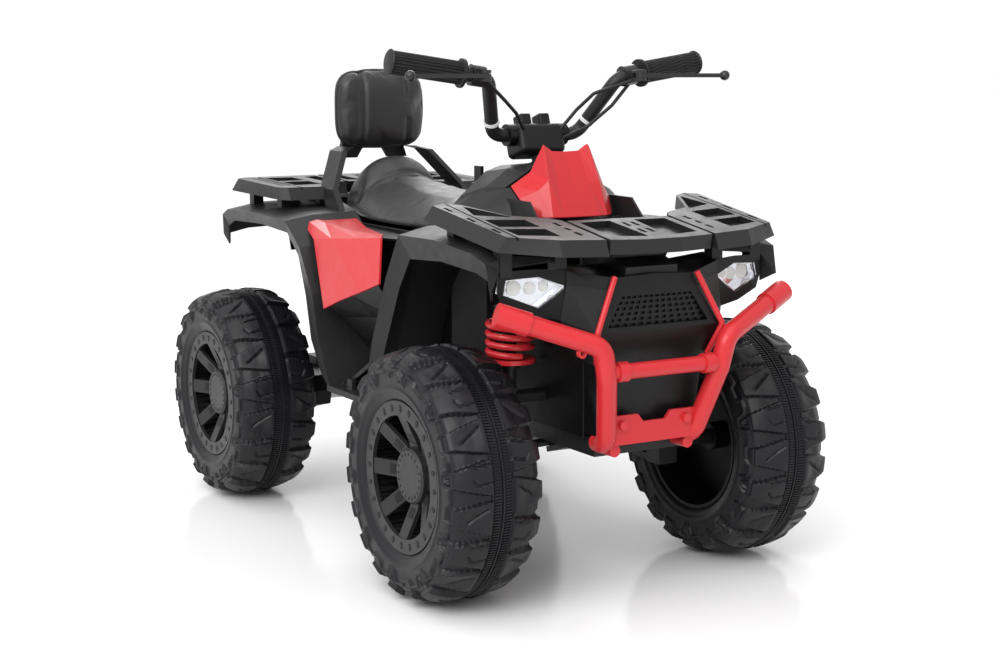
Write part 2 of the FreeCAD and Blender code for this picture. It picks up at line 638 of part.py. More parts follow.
def rim():
    barrel = RIM_RADIUS - RIM_BARREL_WALL
    profile = [
        (-RIM_HALF_WIDTH, RIM_RADIUS), (RIM_HALF_WIDTH, RIM_RADIUS),
        (RIM_HALF_WIDTH, RIM_RADIUS - RIM_RING_WIDTH),
        (RIM_HALF_WIDTH - RIM_RING_THICKNESS, RIM_RADIUS - RIM_RING_WIDTH),
        (RIM_HALF_WIDTH - RIM_RING_THICKNESS, barrel),
        (RIM_WEB_Y + RIM_WEB_THICKNESS, barrel), (RIM_WEB_Y + RIM_WEB_THICKNESS, HUB_RADIUS),
        (HUB_OUTER_Y, HUB_RADIUS), (HUB_OUTER_Y, AXLE_RADIUS + RUNNING_FIT),
        (HUB_INNER_Y, AXLE_RADIUS + RUNNING_FIT), (HUB_INNER_Y, HUB_RADIUS),
        (RIM_WEB_Y, HUB_RADIUS), (RIM_WEB_Y, barrel), (-RIM_HALF_WIDTH, barrel),
    ]
    spoke = prism([V(-SPOKE_WIDTH / 2, y, r) for r, y in SPOKE_PROFILE], V(SPOKE_WIDTH, 0, 0))
    body = revolved(profile).multiFuse(around_y(spoke, SPOKE_COUNT))
    bolt_circle = RIM_RADIUS - RIM_RING_WIDTH / 2
    bottom = V(0, RIM_HALF_WIDTH - RING_BOLT_DEPTH, bolt_circle)
    hole = Part.makeCylinder(RING_BOLT_RADIUS, 2 * RING_BOLT_DEPTH, bottom, V(0, 1, 0))
    bore = rod(V(0, HUB_INNER_Y, 0), V(0, HUB_OUTER_Y, 0), AXLE_RADIUS + RUNNING_FIT)
    return trimmed(body, Part.makeCompound(around_y(hole, RING_BOLT_COUNT)), bore, hub_cap_envelope())


def hub_cap_envelope():
    return rod(V(0, HUB_OUTER_Y, 0), V(0, HUB_OUTER_Y + CAP_HEIGHT, 0), CAP_RADIUS)


def hub_cap():
    top = HUB_OUTER_Y + CAP_HEIGHT
    profile = [
        (HUB_OUTER_Y, CAP_RADIUS), (top - CAP_EDGE, CAP_RADIUS), (top, CAP_RADIUS - CAP_EDGE), (top, 0),
        (top - CAP_WALL, 0), (top - CAP_WALL, NUT_RADIUS + CAP_WALL), (HUB_OUTER_Y, NUT_RADIUS + CAP_WALL),
    ]
    return revolved(profile)


def placed_wheel_piece(shape, x, side):
    one = shape.copy() if side == LEFT else mirrored(shape)
    one.translate(V(x, side * WHEEL_Y, AXLE_Z))
    return one


# Front suspension, built on the left
def kingpin(z):
    return V(FRONT_X, KINGPIN_Y, z)


def steer_pin_place():
    """The arm repeats the pitman arm's offsets, so that each tie rod moves without turning."""
    return FRONT_X - ARM_LENGTH, KINGPIN_Y + PITMAN_PIN_Y


def hub_inner_face():
    return WHEEL_Y + HUB_INNER_Y - RUNNING_GAP


def axle_end():
    return WHEEL_Y + HUB_OUTER_Y + RUNNING_GAP + NUT_HEIGHT


def axle_nut():
    start = V(0, WHEEL_Y + HUB_OUTER_Y + RUNNING_GAP, AXLE_Z)
    end = V(0, axle_end(), AXLE_Z)
    return ring(start, end, NUT_RADIUS, AXLE_RADIUS)


def knuckle():
    block = box(FRONT_X - KNUCKLE_HALF, FRONT_X + KNUCKLE_HALF, KINGPIN_Y - KNUCKLE_HALF,
                KINGPIN_Y + KNUCKLE_HALF, KNUCKLE_BOTTOM, KNUCKLE_TOP)
    pin = rod(kingpin(KNUCKLE_TOP), kingpin(KINGPIN_TOP), KINGPIN_RADIUS)
    collar = rod(kingpin(SPRING_SEAT_Z - RUNNING_GAP - COLLAR_HEIGHT), kingpin(SPRING_SEAT_Z - RUNNING_GAP),
                 COLLAR_RADIUS)
    shoulder = rod(V(FRONT_X, KINGPIN_Y, AXLE_Z), V(FRONT_X, hub_inner_face(), AXLE_Z), STUB_SHOULDER_RADIUS)
    stub = rod(V(FRONT_X, KINGPIN_Y, AXLE_Z), V(FRONT_X, axle_end(), AXLE_Z), AXLE_RADIUS)
    pin_x, pin_y = steer_pin_place()
    arm = box(pin_x - ARM_WIDTH / 2, FRONT_X, KINGPIN_Y - ARM_WIDTH / 2, pin_y + ARM_WIDTH / 2,
              KNUCKLE_BOTTOM, KNUCKLE_BOTTOM + ARM_THICKNESS)
    steer_pin = rod(V(pin_x, pin_y, KNUCKLE_BOTTOM), V(pin_x, pin_y, TIE_PIN_TOP), TIE_PIN_RADIUS)
    return block.multiFuse([pin, collar, shoulder, stub, arm, steer_pin])


def spring_seat():
    return ring(kingpin(SPRING_SEAT_Z), kingpin(SPRING_SEAT_Z + SPRING_SEAT_HEIGHT), SPRING_SEAT_RADIUS,
                KINGPIN_RADIUS + RUNNING_GAP)


def spring():
    """Coil as one unbroken round wire between the spring seat and the upper guide."""
    bottom = SPRING_SEAT_Z + SPRING_SEAT_HEIGHT + RUNNING_GAP + SPRING_WIRE_RADIUS
    rise = UPPER_GUIDE_Z - RUNNING_GAP - SPRING_WIRE_RADIUS - bottom
    helix = Part.makeHelix(rise / SPRING_TURNS, rise, SPRING_MEAN_RADIUS)
    helix.translate(kingpin(bottom))
    start = kingpin(bottom) + V(SPRING_MEAN_RADIUS, 0, 0)
    climb = rise / SPRING_TURNS / (2 * math.pi)
    circle = Part.Wire(Part.makeCircle(SPRING_WIRE_RADIUS, start, V(0, SPRING_MEAN_RADIUS, climb)))
    gap = rise / SPRING_TURNS - 2 * SPRING_WIRE_RADIUS
    print("spring gap between turns", round(gap, 2))
    return Part.Wire(helix.Edges).makePipeShell([circle], True, True)


def pitman_centre():
    """Where the pitman arm meets the column, set so that the pins are level with the tie rods."""
    return column_point(TIE_EYE_Z + ARM_LENGTH * math.sin(COLUMN_RAKE))


def pitman_back():
    return V(-COLUMN_AXIS.z, 0, COLUMN_AXIS.x)


def pitman_pin(side):
    return pitman_centre() + pitman_back() * ARM_LENGTH + V(0, side * PITMAN_PIN_Y, 0)


def along_column(point, below, above, radius):
    return rod(point - COLUMN_AXIS * below, point + COLUMN_AXIS * above, radius)


def steering_column():
    drop = TIE_EYE_HEIGHT / 2 + RUNNING_GAP + PITMAN_THICKNESS
    base = pitman_centre() - COLUMN_AXIS * drop
    shaft = rod(base, COLUMN_TOP, COLUMN_RADIUS)
    back = pitman_back()
    wide = V(0, PITMAN_WIDTH / 2, 0)
    near = V(0, COLUMN_BOSS_RADIUS, 0)
    reach = ARM_LENGTH + TIE_EYE_RADIUS
    outline = [base - near - back * COLUMN_BOSS_RADIUS, base + near - back * COLUMN_BOSS_RADIUS,
               base + wide + back * reach, base - wide + back * reach]
    arm = prism(outline, COLUMN_AXIS * PITMAN_THICKNESS)
    pins = [along_column(pitman_pin(s), drop, TIE_EYE_HEIGHT / 2, TIE_PIN_RADIUS)
            for s in (LEFT, RIGHT)]
    return shaft.multiFuse([arm] + pins)


def tie_rod():
    inner = pitman_pin(LEFT)
    outer = V(*steer_pin_place(), inner.z)
    half = TIE_EYE_HEIGHT / 2
    rise = V(0, 0, half)
    inner_eye = along_column(inner, half, half, TIE_EYE_RADIUS)
    outer_eye = rod(outer - rise, outer + rise, TIE_EYE_RADIUS)
    solid = rod(inner, outer, TIE_ROD_RADIUS).multiFuse([inner_eye, outer_eye])
    inner_bore = along_column(inner, TIE_EYE_HEIGHT, TIE_EYE_HEIGHT, TIE_PIN_RADIUS + RUNNING_FIT)
    outer_bore = rod(outer - rise * 2, outer + rise * 2, TIE_PIN_RADIUS + TIE_EYE_PLAY)
    return trimmed(solid, inner_bore, outer_bore)


# Frame
def chassis_frame():
    top = RAIL_BOTTOM + RAIL_SIZE
    half = RAIL_SIZE / 2
    reach = KINGPIN_Y + TOWER_REACH
    rail_y = across(RAIL_Y)
    rear, front = along(RAIL_REAR_X), along(RAIL_FRONT_X)
    plate_low, plate_high = sorted([across(AXLE_PLATE_Y), across(GEARBOX_Y)])
    tower_rear, tower_front = FRONT_X - TOWER_HALF_LENGTH, FRONT_X + TOWER_HALF_LENGTH
    rails = [box(rear, front, s * rail_y - half, s * rail_y + half, RAIL_BOTTOM, top) for s in (LEFT, RIGHT)]
    crosses = [box(along(x) - half, along(x) + half, -rail_y, rail_y, RAIL_BOTTOM, top) for x in CROSS_TUBES_X]
    beam_y = across(AXLE_PLATE_Y)
    rear_beam = box(REAR_X - half, REAR_X + half, -beam_y, beam_y, RAIL_BOTTOM, top)
    guides = [box(tower_rear, tower_front, -reach, reach, z, z + GUIDE_HEIGHT)
              for z in (LOWER_GUIDE_Z, UPPER_GUIDE_Z)]
    wall = TOWER_PLATE / 2
    upright = box(tower_rear, tower_front, rail_y - wall, rail_y + wall, top, UPPER_GUIDE_Z)
    axle_plate = box(REAR_X - AXLE_PLATE_HALF, REAR_X + AXLE_PLATE_HALF, plate_low, plate_high,
                     AXLE_PLATE_BOTTOM, top)
    uprights = [upright, mirrored(upright)]
    axle_plates = [axle_plate, mirrored(axle_plate)]
    boss_x = column_point(RAIL_BOTTOM + half).x
    bracket = box(boss_x - COLUMN_BRACKET_HALF, boss_x + COLUMN_BRACKET_HALF, -rail_y, rail_y,
                  RAIL_BOTTOM + half, top)
    front_plate = box(front, front + TOWER_PLATE, -rail_y - half, rail_y + half, RAIL_BOTTOM, top)
    parts = crosses + guides + uprights + axle_plates + rails[1:] + [rear_beam, bracket, front_plate]
    frame = rails[0].multiFuse(parts)
    holes = [rod(kingpin(LOWER_GUIDE_Z - GUIDE_HEIGHT), kingpin(KINGPIN_TOP), KINGPIN_RADIUS + RUNNING_FIT)]
    holes.append(mirrored(holes[0]))
    hollow = half - RAIL_WALL
    for side in (LEFT, RIGHT):
        middle = side * rail_y
        holes.append(box(rear, front, middle - hollow, middle + hollow,
                         RAIL_BOTTOM + RAIL_WALL, top - RAIL_WALL))
    holes.append(along_column(COLUMN_TOP, COLUMN_TOP_Z, 0, COLUMN_RADIUS + RUNNING_FIT))
    holes.append(rod(V(REAR_X, -WHEEL_Y, AXLE_Z), V(REAR_X, WHEEL_Y, AXLE_Z), AXLE_RADIUS))
    return trimmed(frame, *holes)


def tub_part(outline, inset_outline, top):
    outside = plan_prism(both_sides(outline), TUB_BOTTOM, top)
    inside = plan_prism(both_sides(inset_outline), TUB_FLOOR, 2 * top)
    return outside, inside


def tub_neck_y():
    """Half width of the tub between the front springs, in drawn units."""
    room = KINGPIN_Y - SPRING_SEAT_RADIUS - TUB_SPRING_GAP
    return room * DRAWN_TRACK / TRACK


def body_tub(neighbours):
    """Open-topped moulding over the rails: a tall rear part and a low narrow front part."""
    neck = tub_neck_y()
    rear = TUB_REAR_OUTLINE + [(TUB_NECK_X, neck)]
    front = [(TUB_NECK_X, neck), (TUB_FRONT_X, neck)]
    rear_x = rear[0][0]
    rear_inset = [(x + SHELL if x == rear_x else x, y - SHELL) for x, y in rear]
    front_inset = [(x - SHELL, y - SHELL) for x, y in front]
    rear_out, rear_in = tub_part(rear, rear_inset, SEAT_BOTTOM)
    front_out, front_in = tub_part(front, front_inset, TUB_FRONT_TOP)
    shell = rear_out.fuse(front_out).cut(rear_in).cut(front_in)
    clear = COLUMN_RADIUS + COLUMN_CLEARANCE
    return trimmed(shell, along_column(COLUMN_TOP, COLUMN_TOP_Z, 0, clear), *neighbours)


def footboard():
    top = FOOTBOARD_BOTTOM + FOOTBOARD_HEIGHT
    board = plan_prism(FOOTBOARD_OUTLINE, FOOTBOARD_BOTTOM, top)
    x0, y0 = place((*FOOTBOARD_OUTLINE[0], 0))[:2]
    x1, y1 = place((*FOOTBOARD_OUTLINE[2], 0))[:2]
    step = (x1 - x0 - 2 * FOOT_RIB_INSET) / FOOT_RIB_COUNT
    ribs = []
    for i in range(FOOT_RIB_COUNT):
        start = x0 + FOOT_RIB_INSET + i * step
        ribs.append(box(start, start + FOOT_RIB_WIDTH, y0 + FOOT_RIB_INSET, y1 - FOOT_RIB_INSET, top,
                        top + FOOT_RIB_HEIGHT))
    return board.multiFuse(ribs)


def headlight_hole():
    return front_prism(HEADLIGHT_OUTLINE, along(HEADLIGHT_BACK_X), along(HEADLIGHT_FRONT_X))


def shifted(shape, run):
    copy = shape.copy()
    copy.translate(run)
    return copy


def headlight_lens(surround):
    """The part of the surround's skin inside the headlight outline."""
    return trimmed(surround.common(headlight_hole()))


def headlight_reflector(surround):
    """Bowl behind the lens: a back set in from the lens and a wall round the outline, with lamp holes."""
    back = shifted(surround, V(-REFLECTOR_INSET, 0, 0)).common(headlight_hole())
    middle_y = sum(y for y, z in HEADLIGHT_OUTLINE) / len(HEADLIGHT_OUTLINE)
    middle_z = sum(z for y, z in HEADLIGHT_OUTLINE) / len(HEADLIGHT_OUTLINE)
    drawn_in = REFLECTOR_OPEN_SHARE
    inside = [(middle_y + (y - middle_y) * drawn_in, middle_z + (z - middle_z) * drawn_in)
              for y, z in HEADLIGHT_OUTLINE]
    tube_wall = headlight_hole().cut(front_prism(inside, along(HEADLIGHT_BACK_X), along(HEADLIGHT_FRONT_X)))
    behind = panel(HEADLIGHT_SURROUND, REFLECTOR_INSET + SHELL).cut(surround)
    bowl = back.fuse(behind.common(tube_wall))
    for y, z, radius in LAMP_CENTRES:
        behind_lamp = V(along(HEADLIGHT_BACK_X), across(y), z)
        before_lamp = V(along(HEADLIGHT_FRONT_X), across(y), z)
        bowl = bowl.cut(rod(behind_lamp, before_lamp, radius))
    return trimmed(bowl)


def headlight_lamps():
    lamps = []
    for y, z, radius in LAMP_CENTRES:
        share = (y - HEADLIGHT_OUTLINE[0][0]) / (HEADLIGHT_OUTLINE[3][0] - HEADLIGHT_OUTLINE[0][0])
        first, last = HEADLIGHT_SURROUND[1][0][0], HEADLIGHT_SURROUND[1][2][0]
        x = along(first + (last - first) * share) - REFLECTOR_INSET - SHELL
        lamps.append(rod(V(x - LAMP_DEPTH, across(y), z), V(x + LAMP_DEPTH, across(y), z), radius))
    return lamps


def grille_opening():
    """The grille's outline drawn in towards its middle, through the fascia."""
    middle = sum(z for y, z in GRILLE_OUTLINE) / len(GRILLE_OUTLINE)
    drawn_in = GRILLE_OPENING_SHARE
    outline = [(y * drawn_in, middle + (z - middle) * drawn_in) for y, z in GRILLE_OUTLINE]
    depth = 4 * GRILLE_DEPTH
    return front_prism(outline, along(GRILLE_FRONT_X) - depth, along(GRILLE_FRONT_X) + depth)


def grille_insert():
    plate = front_prism(GRILLE_OUTLINE, along(GRILLE_FRONT_X) - GRILLE_DEPTH, along(GRILLE_FRONT_X))
    top = GRILLE_OUTLINE[0][1]
    bottom = GRILLE_OUTLINE[2][1]
    slots = []
    for row in range(GRILLE_ROWS):
        share = (2 * row + 1) / (2 * GRILLE_ROWS)
        z = bottom + (top - bottom) * share
        width = GRILLE_OUTLINE[2][0] + (GRILLE_OUTLINE[1][0] - GRILLE_OUTLINE[2][0]) * share
        pitch_y = 2 * (width - GRILLE_DEPTH) / GRILLE_BARS
        for k in range(GRILLE_BARS):
            y = across((k - (GRILLE_BARS - 1) / 2) * pitch_y)
            size = (2 * GRILLE_POCKET, GRILLE_SLOT, GRILLE_SLOT_HEIGHT)
            slots.append(centred_box(V(along(GRILLE_FRONT_X), y, z), size))
    return trimmed(plate, Part.makeCompound(slots))


def grille_trim():
    path = [place(p) for p in TRIM_PATH]
    return tube(path, TRIM_RADIUS, 2 * TRIM_RADIUS)


def flared(outline, grow_from):
    """The outline's lower edge: points on the outer sides moved out by the flare."""
    return [(x + RACK_FLARE * (1 if x > grow_from else 0), y + RACK_FLARE * (1 if y > outline[3][1] else 0))
            for x, y in outline]


def bevelled(top_outline, bottom_outline):
    """Plate with sloping sides between a lower and an upper outline."""
    wires = []
    for outline, z in ((bottom_outline, 0), (top_outline, RACK_THICKNESS)):
        points = [place((x, y, z)) for x, y in outline]
        wires.append(Part.makePolygon(points + [points[0]]))
    return Part.makeLoft(wires, True, True)


def rack(outline, centre, bridges, recesses, groove, origin, slope):
    """Three-section carrier plate: two wings and a centre joined by low bridges, tilted about its rear edge."""
    front_x = outline[-2][0] - RACK_FLARE
    wing = bevelled(outline, flared(outline, front_x))
    middle = plan_prism(both_sides(centre), 0, RACK_THICKNESS)
    inner_y = across(outline[0][1])
    low = RACK_THICKNESS - RACK_BRIDGE_DROP
    reach = inner_y + RACK_BRIDGE_DROP
    joins = [box(along(x), along(x) + RACK_BRIDGE_LENGTH, -reach, reach, 0, low) for x in bridges]
    plate = middle.multiFuse([wing, mirrored(wing)] + joins)
    floor = RACK_THICKNESS - RACK_RECESS_DEPTH
    pockets = [plan_prism(points, floor, 2 * RACK_THICKNESS) for points in recesses]
    pockets.append(plan_prism(groove, RACK_THICKNESS - RACK_GROOVE_DEPTH, 2 * RACK_THICKNESS))
    pockets += [mirrored(one) for one in pockets]
    plate = trimmed(plate, Part.makeCompound(pockets))
    plate.rotate(V(0, 0, 0), V(0, 1, 0), slope)
    plate.translate(origin - V(0, 0, RACK_THICKNESS))
    return plate


def front_rack(neighbours):
    plate = rack(FRONT_RACK_OUTLINE, FRONT_RACK_CENTRE, FRONT_RACK_BRIDGES_X, FRONT_RACK_RECESSES,
                 FRONT_RACK_GROOVE, V(along(FRONT_RACK_REAR_X), 0, FRONT_RACK_REAR_Z), FRONT_RACK_SLOPE_DEGREES)
    half = across(FRONT_SUPPORT_HALF_WIDTH)
    support = side_prism(FRONT_SUPPORT, -half, half)
    return with_posts(plate.fuse(support), FRONT_POSTS, neighbours)


def rear_rack(neighbours):
    plate = rack(REAR_RACK_OUTLINE, REAR_RACK_CENTRE, REAR_RACK_BRIDGES_X, REAR_RACK_RECESSES,
                 REAR_RACK_GROOVE, V(along(REAR_RACK_REAR_X), 0, REAR_RACK_REAR_Z), REAR_RACK_SLOPE_DEGREES)
    return with_posts(plate, REAR_POSTS, neighbours)


def with_posts(plate, places, neighbours):
    """Short square posts from the plate down onto the fenders."""
    half = POST_SIZE / 2
    posts = []
    for drawn_x, drawn_y in places:
        x, y = along(drawn_x), across(drawn_y)
        above = box(x - half, x + half, y - half, y + half, 0, 2 * FRONT_RACK_REAR_Z)
        under = plate.common(above).BoundBox.ZMax
        posts.append(box(x - half, x + half, y - half, y + half, under - 3 * RACK_THICKNESS,
                         under - RACK_RECESS_DEPTH - RACK_BRIDGE_DROP))
    posts += [mirrored(one) for one in posts]
    return trimmed(plate.multiFuse(posts), *neighbours)


def bumper_eyelet(end, corner):
    """Small ring under the upper tube on the right side."""
    share = (end.y - across(EYELET_Y)) / (end.y - corner.y)
    seat = end + (corner - end) * share
    middle = V(seat.x, -seat.y, seat.z - EYELET_DROP)
    half = V(EYELET_LENGTH / 2, 0, 0)
    return ring(middle - half, middle + half, EYELET_RADIUS, EYELET_HOLE)


def front_bumper():
    left = [place(p) for p in BUMPER_PATH]
    bars = [tube(left, BUMPER_TUBE_RADIUS, BUMPER_BEND)]
    inward = (left[1] - left[0]).normalize()
    bars.append(rod(left[0], left[0] + inward * BUMPER_CAP_LENGTH, BUMPER_CAP_RADIUS))
    bars += [mirrored(one) for one in bars]
    bars.append(bumper_eyelet(left[0], left[1]))
    share = (left[1].z - CROSSBAR_Z) / (left[1].z - left[2].z)
    seat = left[1] + (left[2] - left[1]) * share
    bars.append(rod(V(seat.x, -seat.y, CROSSBAR_Z), V(seat.x, seat.y, CROSSBAR_Z), CROSSBAR_RADIUS))
    half = V(0, COLLAR_BAR_LENGTH / 2, 0)
    for side in (LEFT, RIGHT):
        middle = V(seat.x, side * across(COLLAR_BAR_Y), CROSSBAR_Z)
        bars.append(rod(middle - half, middle + half, COLLAR_BAR_RADIUS))
    plate_front = along(BUMPER_PLATE_X)
    plate_back = plate_front - BUMPER_PLATE_THICKNESS
    bars.append(front_prism(BUMPER_PLATE, plate_back, plate_front))
    stay_x = along(RAIL_FRONT_X) + TOWER_PLATE
    stay_z = RAIL_BOTTOM + RAIL_SIZE / 2
    for side in (LEFT, RIGHT):
        stay_y = side * across(RAIL_Y)
        bars.append(rod(V(stay_x, stay_y, stay_z), V(plate_back, stay_y, stay_z), BUMPER_STAY_RADIUS))
    return bars[0].multiFuse(bars[1:])


def bumper_bolt():
    start = V(along(BUMPER_PLATE_X), across(BUMPER_BOLT_Y), BUMPER_BOLT_Z)
    return rod(start, start + V(BOLT_HEAD_HEIGHT, 0, 0), BOLT_HEAD_RADIUS)


def smooth_ring(points):
    """Closed smooth wire through points."""
    curve = Part.BSplineCurve()
    curve.interpolate(Points=points, PeriodicFlag=True)
    return Part.Wire(curve.toShape())


def seat():
    """Saddle: a smooth crown over drawn-in sides on a flat base, lofted from the tail to the tank."""
    rings = []
    for x, half, top in SEAT_STATIONS:
        height = top - SEAT_BOTTOM
        left = [place((x, half * a, SEAT_BOTTOM + height * b)) for a, b in SEAT_SECTION_SHARES]
        right = [V(p.x, -p.y, p.z) for p in left[1:]]
        crown = Part.BSplineCurve()
        crown.interpolate(Points=list(reversed(left)) + right)
        base = Part.makeLine(right[-1], left[-1])
        rings.append(Part.Wire([crown.toShape(), base]))
    return Part.makeLoft(rings, True)


def backrest_pad():
    rings = []
    for offset, scale in PAD_LAYERS:
        points = []
        for k in range(PAD_POINTS):
            a = 2 * math.pi * k / PAD_POINTS
            c, s = math.cos(a), math.sin(a)
            y = math.copysign(abs(c) ** PAD_SQUARENESS_SHARE, c) * PAD_HALF_WIDTH * scale
            z = math.copysign(abs(s) ** PAD_SQUARENESS_SHARE, s) * PAD_HALF_HEIGHT * scale
            points.append(V(along(PAD_CENTRE_X) + offset, y, PAD_CENTRE_Z + z))
        rings.append(smooth_ring(points))
    return Part.makeLoft(rings, True)


def backrest_bracket(neighbours):
    """Back plate with two broad arms that splay forward and down to the body sides."""
    back = front_prism(BRACKET_BACK, BRACKET_BACK_X - BRACKET_THICKNESS, BRACKET_BACK_X)
    path = [place(p) for p in BRACKET_ARM]
    long = V(BRACKET_WIDTH, 0, 0)
    wide = V(0, BRACKET_THICKNESS, 0)
    arms = [prism([a, a + long, a + long + wide, a + wide], b - a) for a, b in zip(path, path[1:])]
    whole = back.multiFuse(arms + [mirrored(one) for one in arms])
    return trimmed(whole, *neighbours)


# Drive
def battery():
    length, width, height = BATTERY
    return centred_box(V(along(BATTERY_X), 0, TUB_FLOOR + height / 2), BATTERY)


def control_box():
    return centred_box(V(along(CONTROL_BOX_X), 0, TUB_FLOOR + CONTROL_BOX[2] / 2), CONTROL_BOX)


def gearbox():
    case = side_prism(GEARBOX_OUTLINE, across(GEARBOX_Y), across(GEARBOX_Y) + GEARBOX_THICKNESS)
    return case.cut(rod(V(REAR_X, 0, AXLE_Z), V(REAR_X, WHEEL_Y, AXLE_Z), AXLE_RADIUS))


def motor():
    start = V(along(MOTOR_X), across(GEARBOX_Y) - MOTOR_LENGTH, MOTOR_Z)
    return rod(start, V(along(MOTOR_X), across(GEARBOX_Y), MOTOR_Z), MOTOR_RADIUS)


def rear_axle():
    return rod(V(REAR_X, -axle_end(), AXLE_Z), V(REAR_X, axle_end(), AXLE_Z), AXLE_RADIUS)


def rear_nuts():
    nut = shifted(axle_nut(), V(REAR_X, 0, 0))
    return pair(nut)


# Handlebar, built on the left
def bar_direction():
    return (over_column(BAR_PATH[0]) - over_column(BAR_PATH[1])).normalize()


def bar_point(y):
    """Point of the grip part of the bar at a distance from the middle of the bike."""
    start = over_column(BAR_PATH[1])
    run = bar_direction()
    return start + run * ((y - start.y) / run.y)


def handlebar():
    return hollow_tube(mirrored_path(BAR_PATH), BAR_RADIUS, BAR_BORE, BAR_BEND)


def grip():
    end = over_column(BAR_PATH[0])
    run = bar_direction()
    start = end - run * GRIP_LENGTH
    sleeve = rod(start, end + run * GRIP_END, GRIP_RADIUS)
    flanges = [rod(start, start + run * GRIP_FLANGE_LENGTH, GRIP_FLANGE_RADIUS),
               rod(end + run * (GRIP_END - GRIP_FLANGE_LENGTH), end + run * GRIP_END, GRIP_FLANGE_RADIUS)]
    return sleeve.multiFuse(flanges).cut(rod(start - run, end, BAR_RADIUS))


def bar_cover(neighbours):
    """Padded clamp cover round the middle of the bar, square to the column."""
    block = box(-COVER_HALF_LENGTH, COVER_HALF_LENGTH, -COVER_HALF_WIDTH, COVER_HALF_WIDTH, -COVER_BELOW,
                COVER_ABOVE)
    block = block.makeFillet(COVER_CORNER, block.Edges)
    knob = centred_box(V(0, COVER_BLOCK_Y, COVER_ABOVE), COVER_BLOCK)
    knob = knob.makeFillet(COVER_BLOCK_CORNER, knob.Edges)
    cover = block.multiFuse([knob, mirrored(knob)])
    cover.rotate(V(0, 0, 0), V(0, 1, 0), -math.degrees(COLUMN_RAKE))
    cover.translate(COLUMN_TOP)
    bar_middle = over_column((BAR_PATH[-1][0], 0, BAR_PATH[-1][2]))
    reach = V(0, COVER_SLEEVE_Y, 0)
    sleeve = rod(bar_middle - reach, bar_middle + reach, COVER_SLEEVE_RADIUS)
    return trimmed(cover.fuse(sleeve), *neighbours)


def lever_axis():
    return V(0, 0, 1)


def lever_pivot():
    forward = bar_direction().cross(lever_axis()).normalize()
    return bar_point(PERCH_ALONG) + forward * PERCH_REACH


def lever_perch(neighbours):
    run = bar_direction()
    middle = bar_point(PERCH_ALONG)
    clamp = rod(middle - run * PERCH_LENGTH / 2, middle + run * PERCH_LENGTH / 2, PERCH_RADIUS)
    pivot = lever_pivot()
    axis = lever_axis()
    half = PERCH_HEIGHT / 2
    boss = rod(pivot - axis * half, pivot + axis * half, LEVER_BOSS_RADIUS)
    side = run * LEVER_BOSS_RADIUS
    arm = prism([middle - side - axis * half, middle + side - axis * half, pivot + side - axis * half,
                 pivot - side - axis * half], axis * PERCH_HEIGHT)
    slot_half = LEVER_THICKNESS / 2 + RUNNING_GAP
    room = 2 * LEVER_BOSS_RADIUS
    slot = rod(pivot - axis * slot_half, pivot + axis * slot_half, room)
    return trimmed(clamp.multiFuse([arm, boss]), slot, *neighbours)


def lever_pin():
    axis = lever_axis()
    half = PERCH_HEIGHT / 2
    return rod(lever_pivot() - axis * half, lever_pivot() + axis * half, LEVER_PIN_RADIUS)


def brake_lever():
    axis = lever_axis()
    pivot = lever_pivot()
    tip = over_column(LEVER_TIP)
    tip = tip - axis * (tip - pivot).dot(axis)
    low = axis * (LEVER_THICKNESS / 2)
    run = (tip - pivot).normalize()
    wide = run.cross(axis) * (LEVER_WIDTH / 2)
    slim = wide * LEVER_TIP_SHARE
    blade = prism([pivot - wide - low, pivot + wide - low, tip + slim - low, tip - slim - low],
                  axis * LEVER_THICKNESS)
    boss = rod(pivot - low, pivot + low, LEVER_BOSS_RADIUS)
    ball = Part.makeSphere(LEVER_BALL_RADIUS, tip)
    pin_hole = rod(pivot - low * 2, pivot + low * 2, LEVER_PIN_RADIUS + RUNNING_FIT)
    return blade.multiFuse([boss, ball]).cut(pin_hole)


def cable(points, side):
    path = [over_column((x, side * y, z)) for x, y, z in points]
    return tube(path, CABLE_RADIUS, CABLE_BEND)


def cable_tie():
    top, bottom = over_column(BAR_PATH[1]), over_column(BAR_PATH[2])
    middle = top + (bottom - top) * TIE_ALONG_SHARE
    run = (bottom - top).normalize() * (TIE_WIDTH / 2)
    return ring(middle - run, middle + run, BAR_RADIUS + TIE_WALL, BAR_RADIUS)


# Pedal and key
def pedal_hinge():
    return V(along(PEDAL_X), -across(PEDAL_Y), PEDAL_HINGE_Z)


def accelerator_pedal():
    length, width, thick = PEDAL_SIZE
    plate = box(0, length, -width / 2, width / 2, PEDAL_PIN_RADIUS, PEDAL_PIN_RADIUS + thick)
    barrel = rod(V(0, -width / 2, 0), V(0, width / 2, 0), 2 * PEDAL_PIN_RADIUS)
    pedal = plate.fuse(barrel).cut(rod(V(0, -width, 0), V(0, width, 0), PEDAL_PIN_RADIUS + RUNNING_FIT))
    pedal.rotate(V(0, 0, 0), V(0, 1, 0), -PEDAL_TILT_DEGREES)
    pedal.translate(pedal_hinge())
    return pedal


def pedal_mount():
    """Hinge pin between two lugs that stand on the footboard."""
    half = PEDAL_SIZE[1] / 2
    hinge = pedal_hinge()
    pin = rod(hinge - V(0, half + PEDAL_LUG, 0), hinge + V(0, half + PEDAL_LUG, 0), PEDAL_PIN_RADIUS)
    lugs = []
    bottom = FOOTBOARD_BOTTOM + FOOTBOARD_HEIGHT / 2
    for side in (LEFT, RIGHT):
        near = hinge.y + side * (half + RUNNING_GAP)
        far = hinge.y + side * (half + PEDAL_LUG)
        lugs.append(box(hinge.x - PEDAL_LUG, hinge.x + PEDAL_LUG, min(near, far), max(near, far), bottom,
                        hinge.z + 2 * PEDAL_PIN_RADIUS))
    return pin.multiFuse(lugs)


def key_base():
    return V(along(KEY_X), -across(KEY_Y), lifted(KEY_Z))


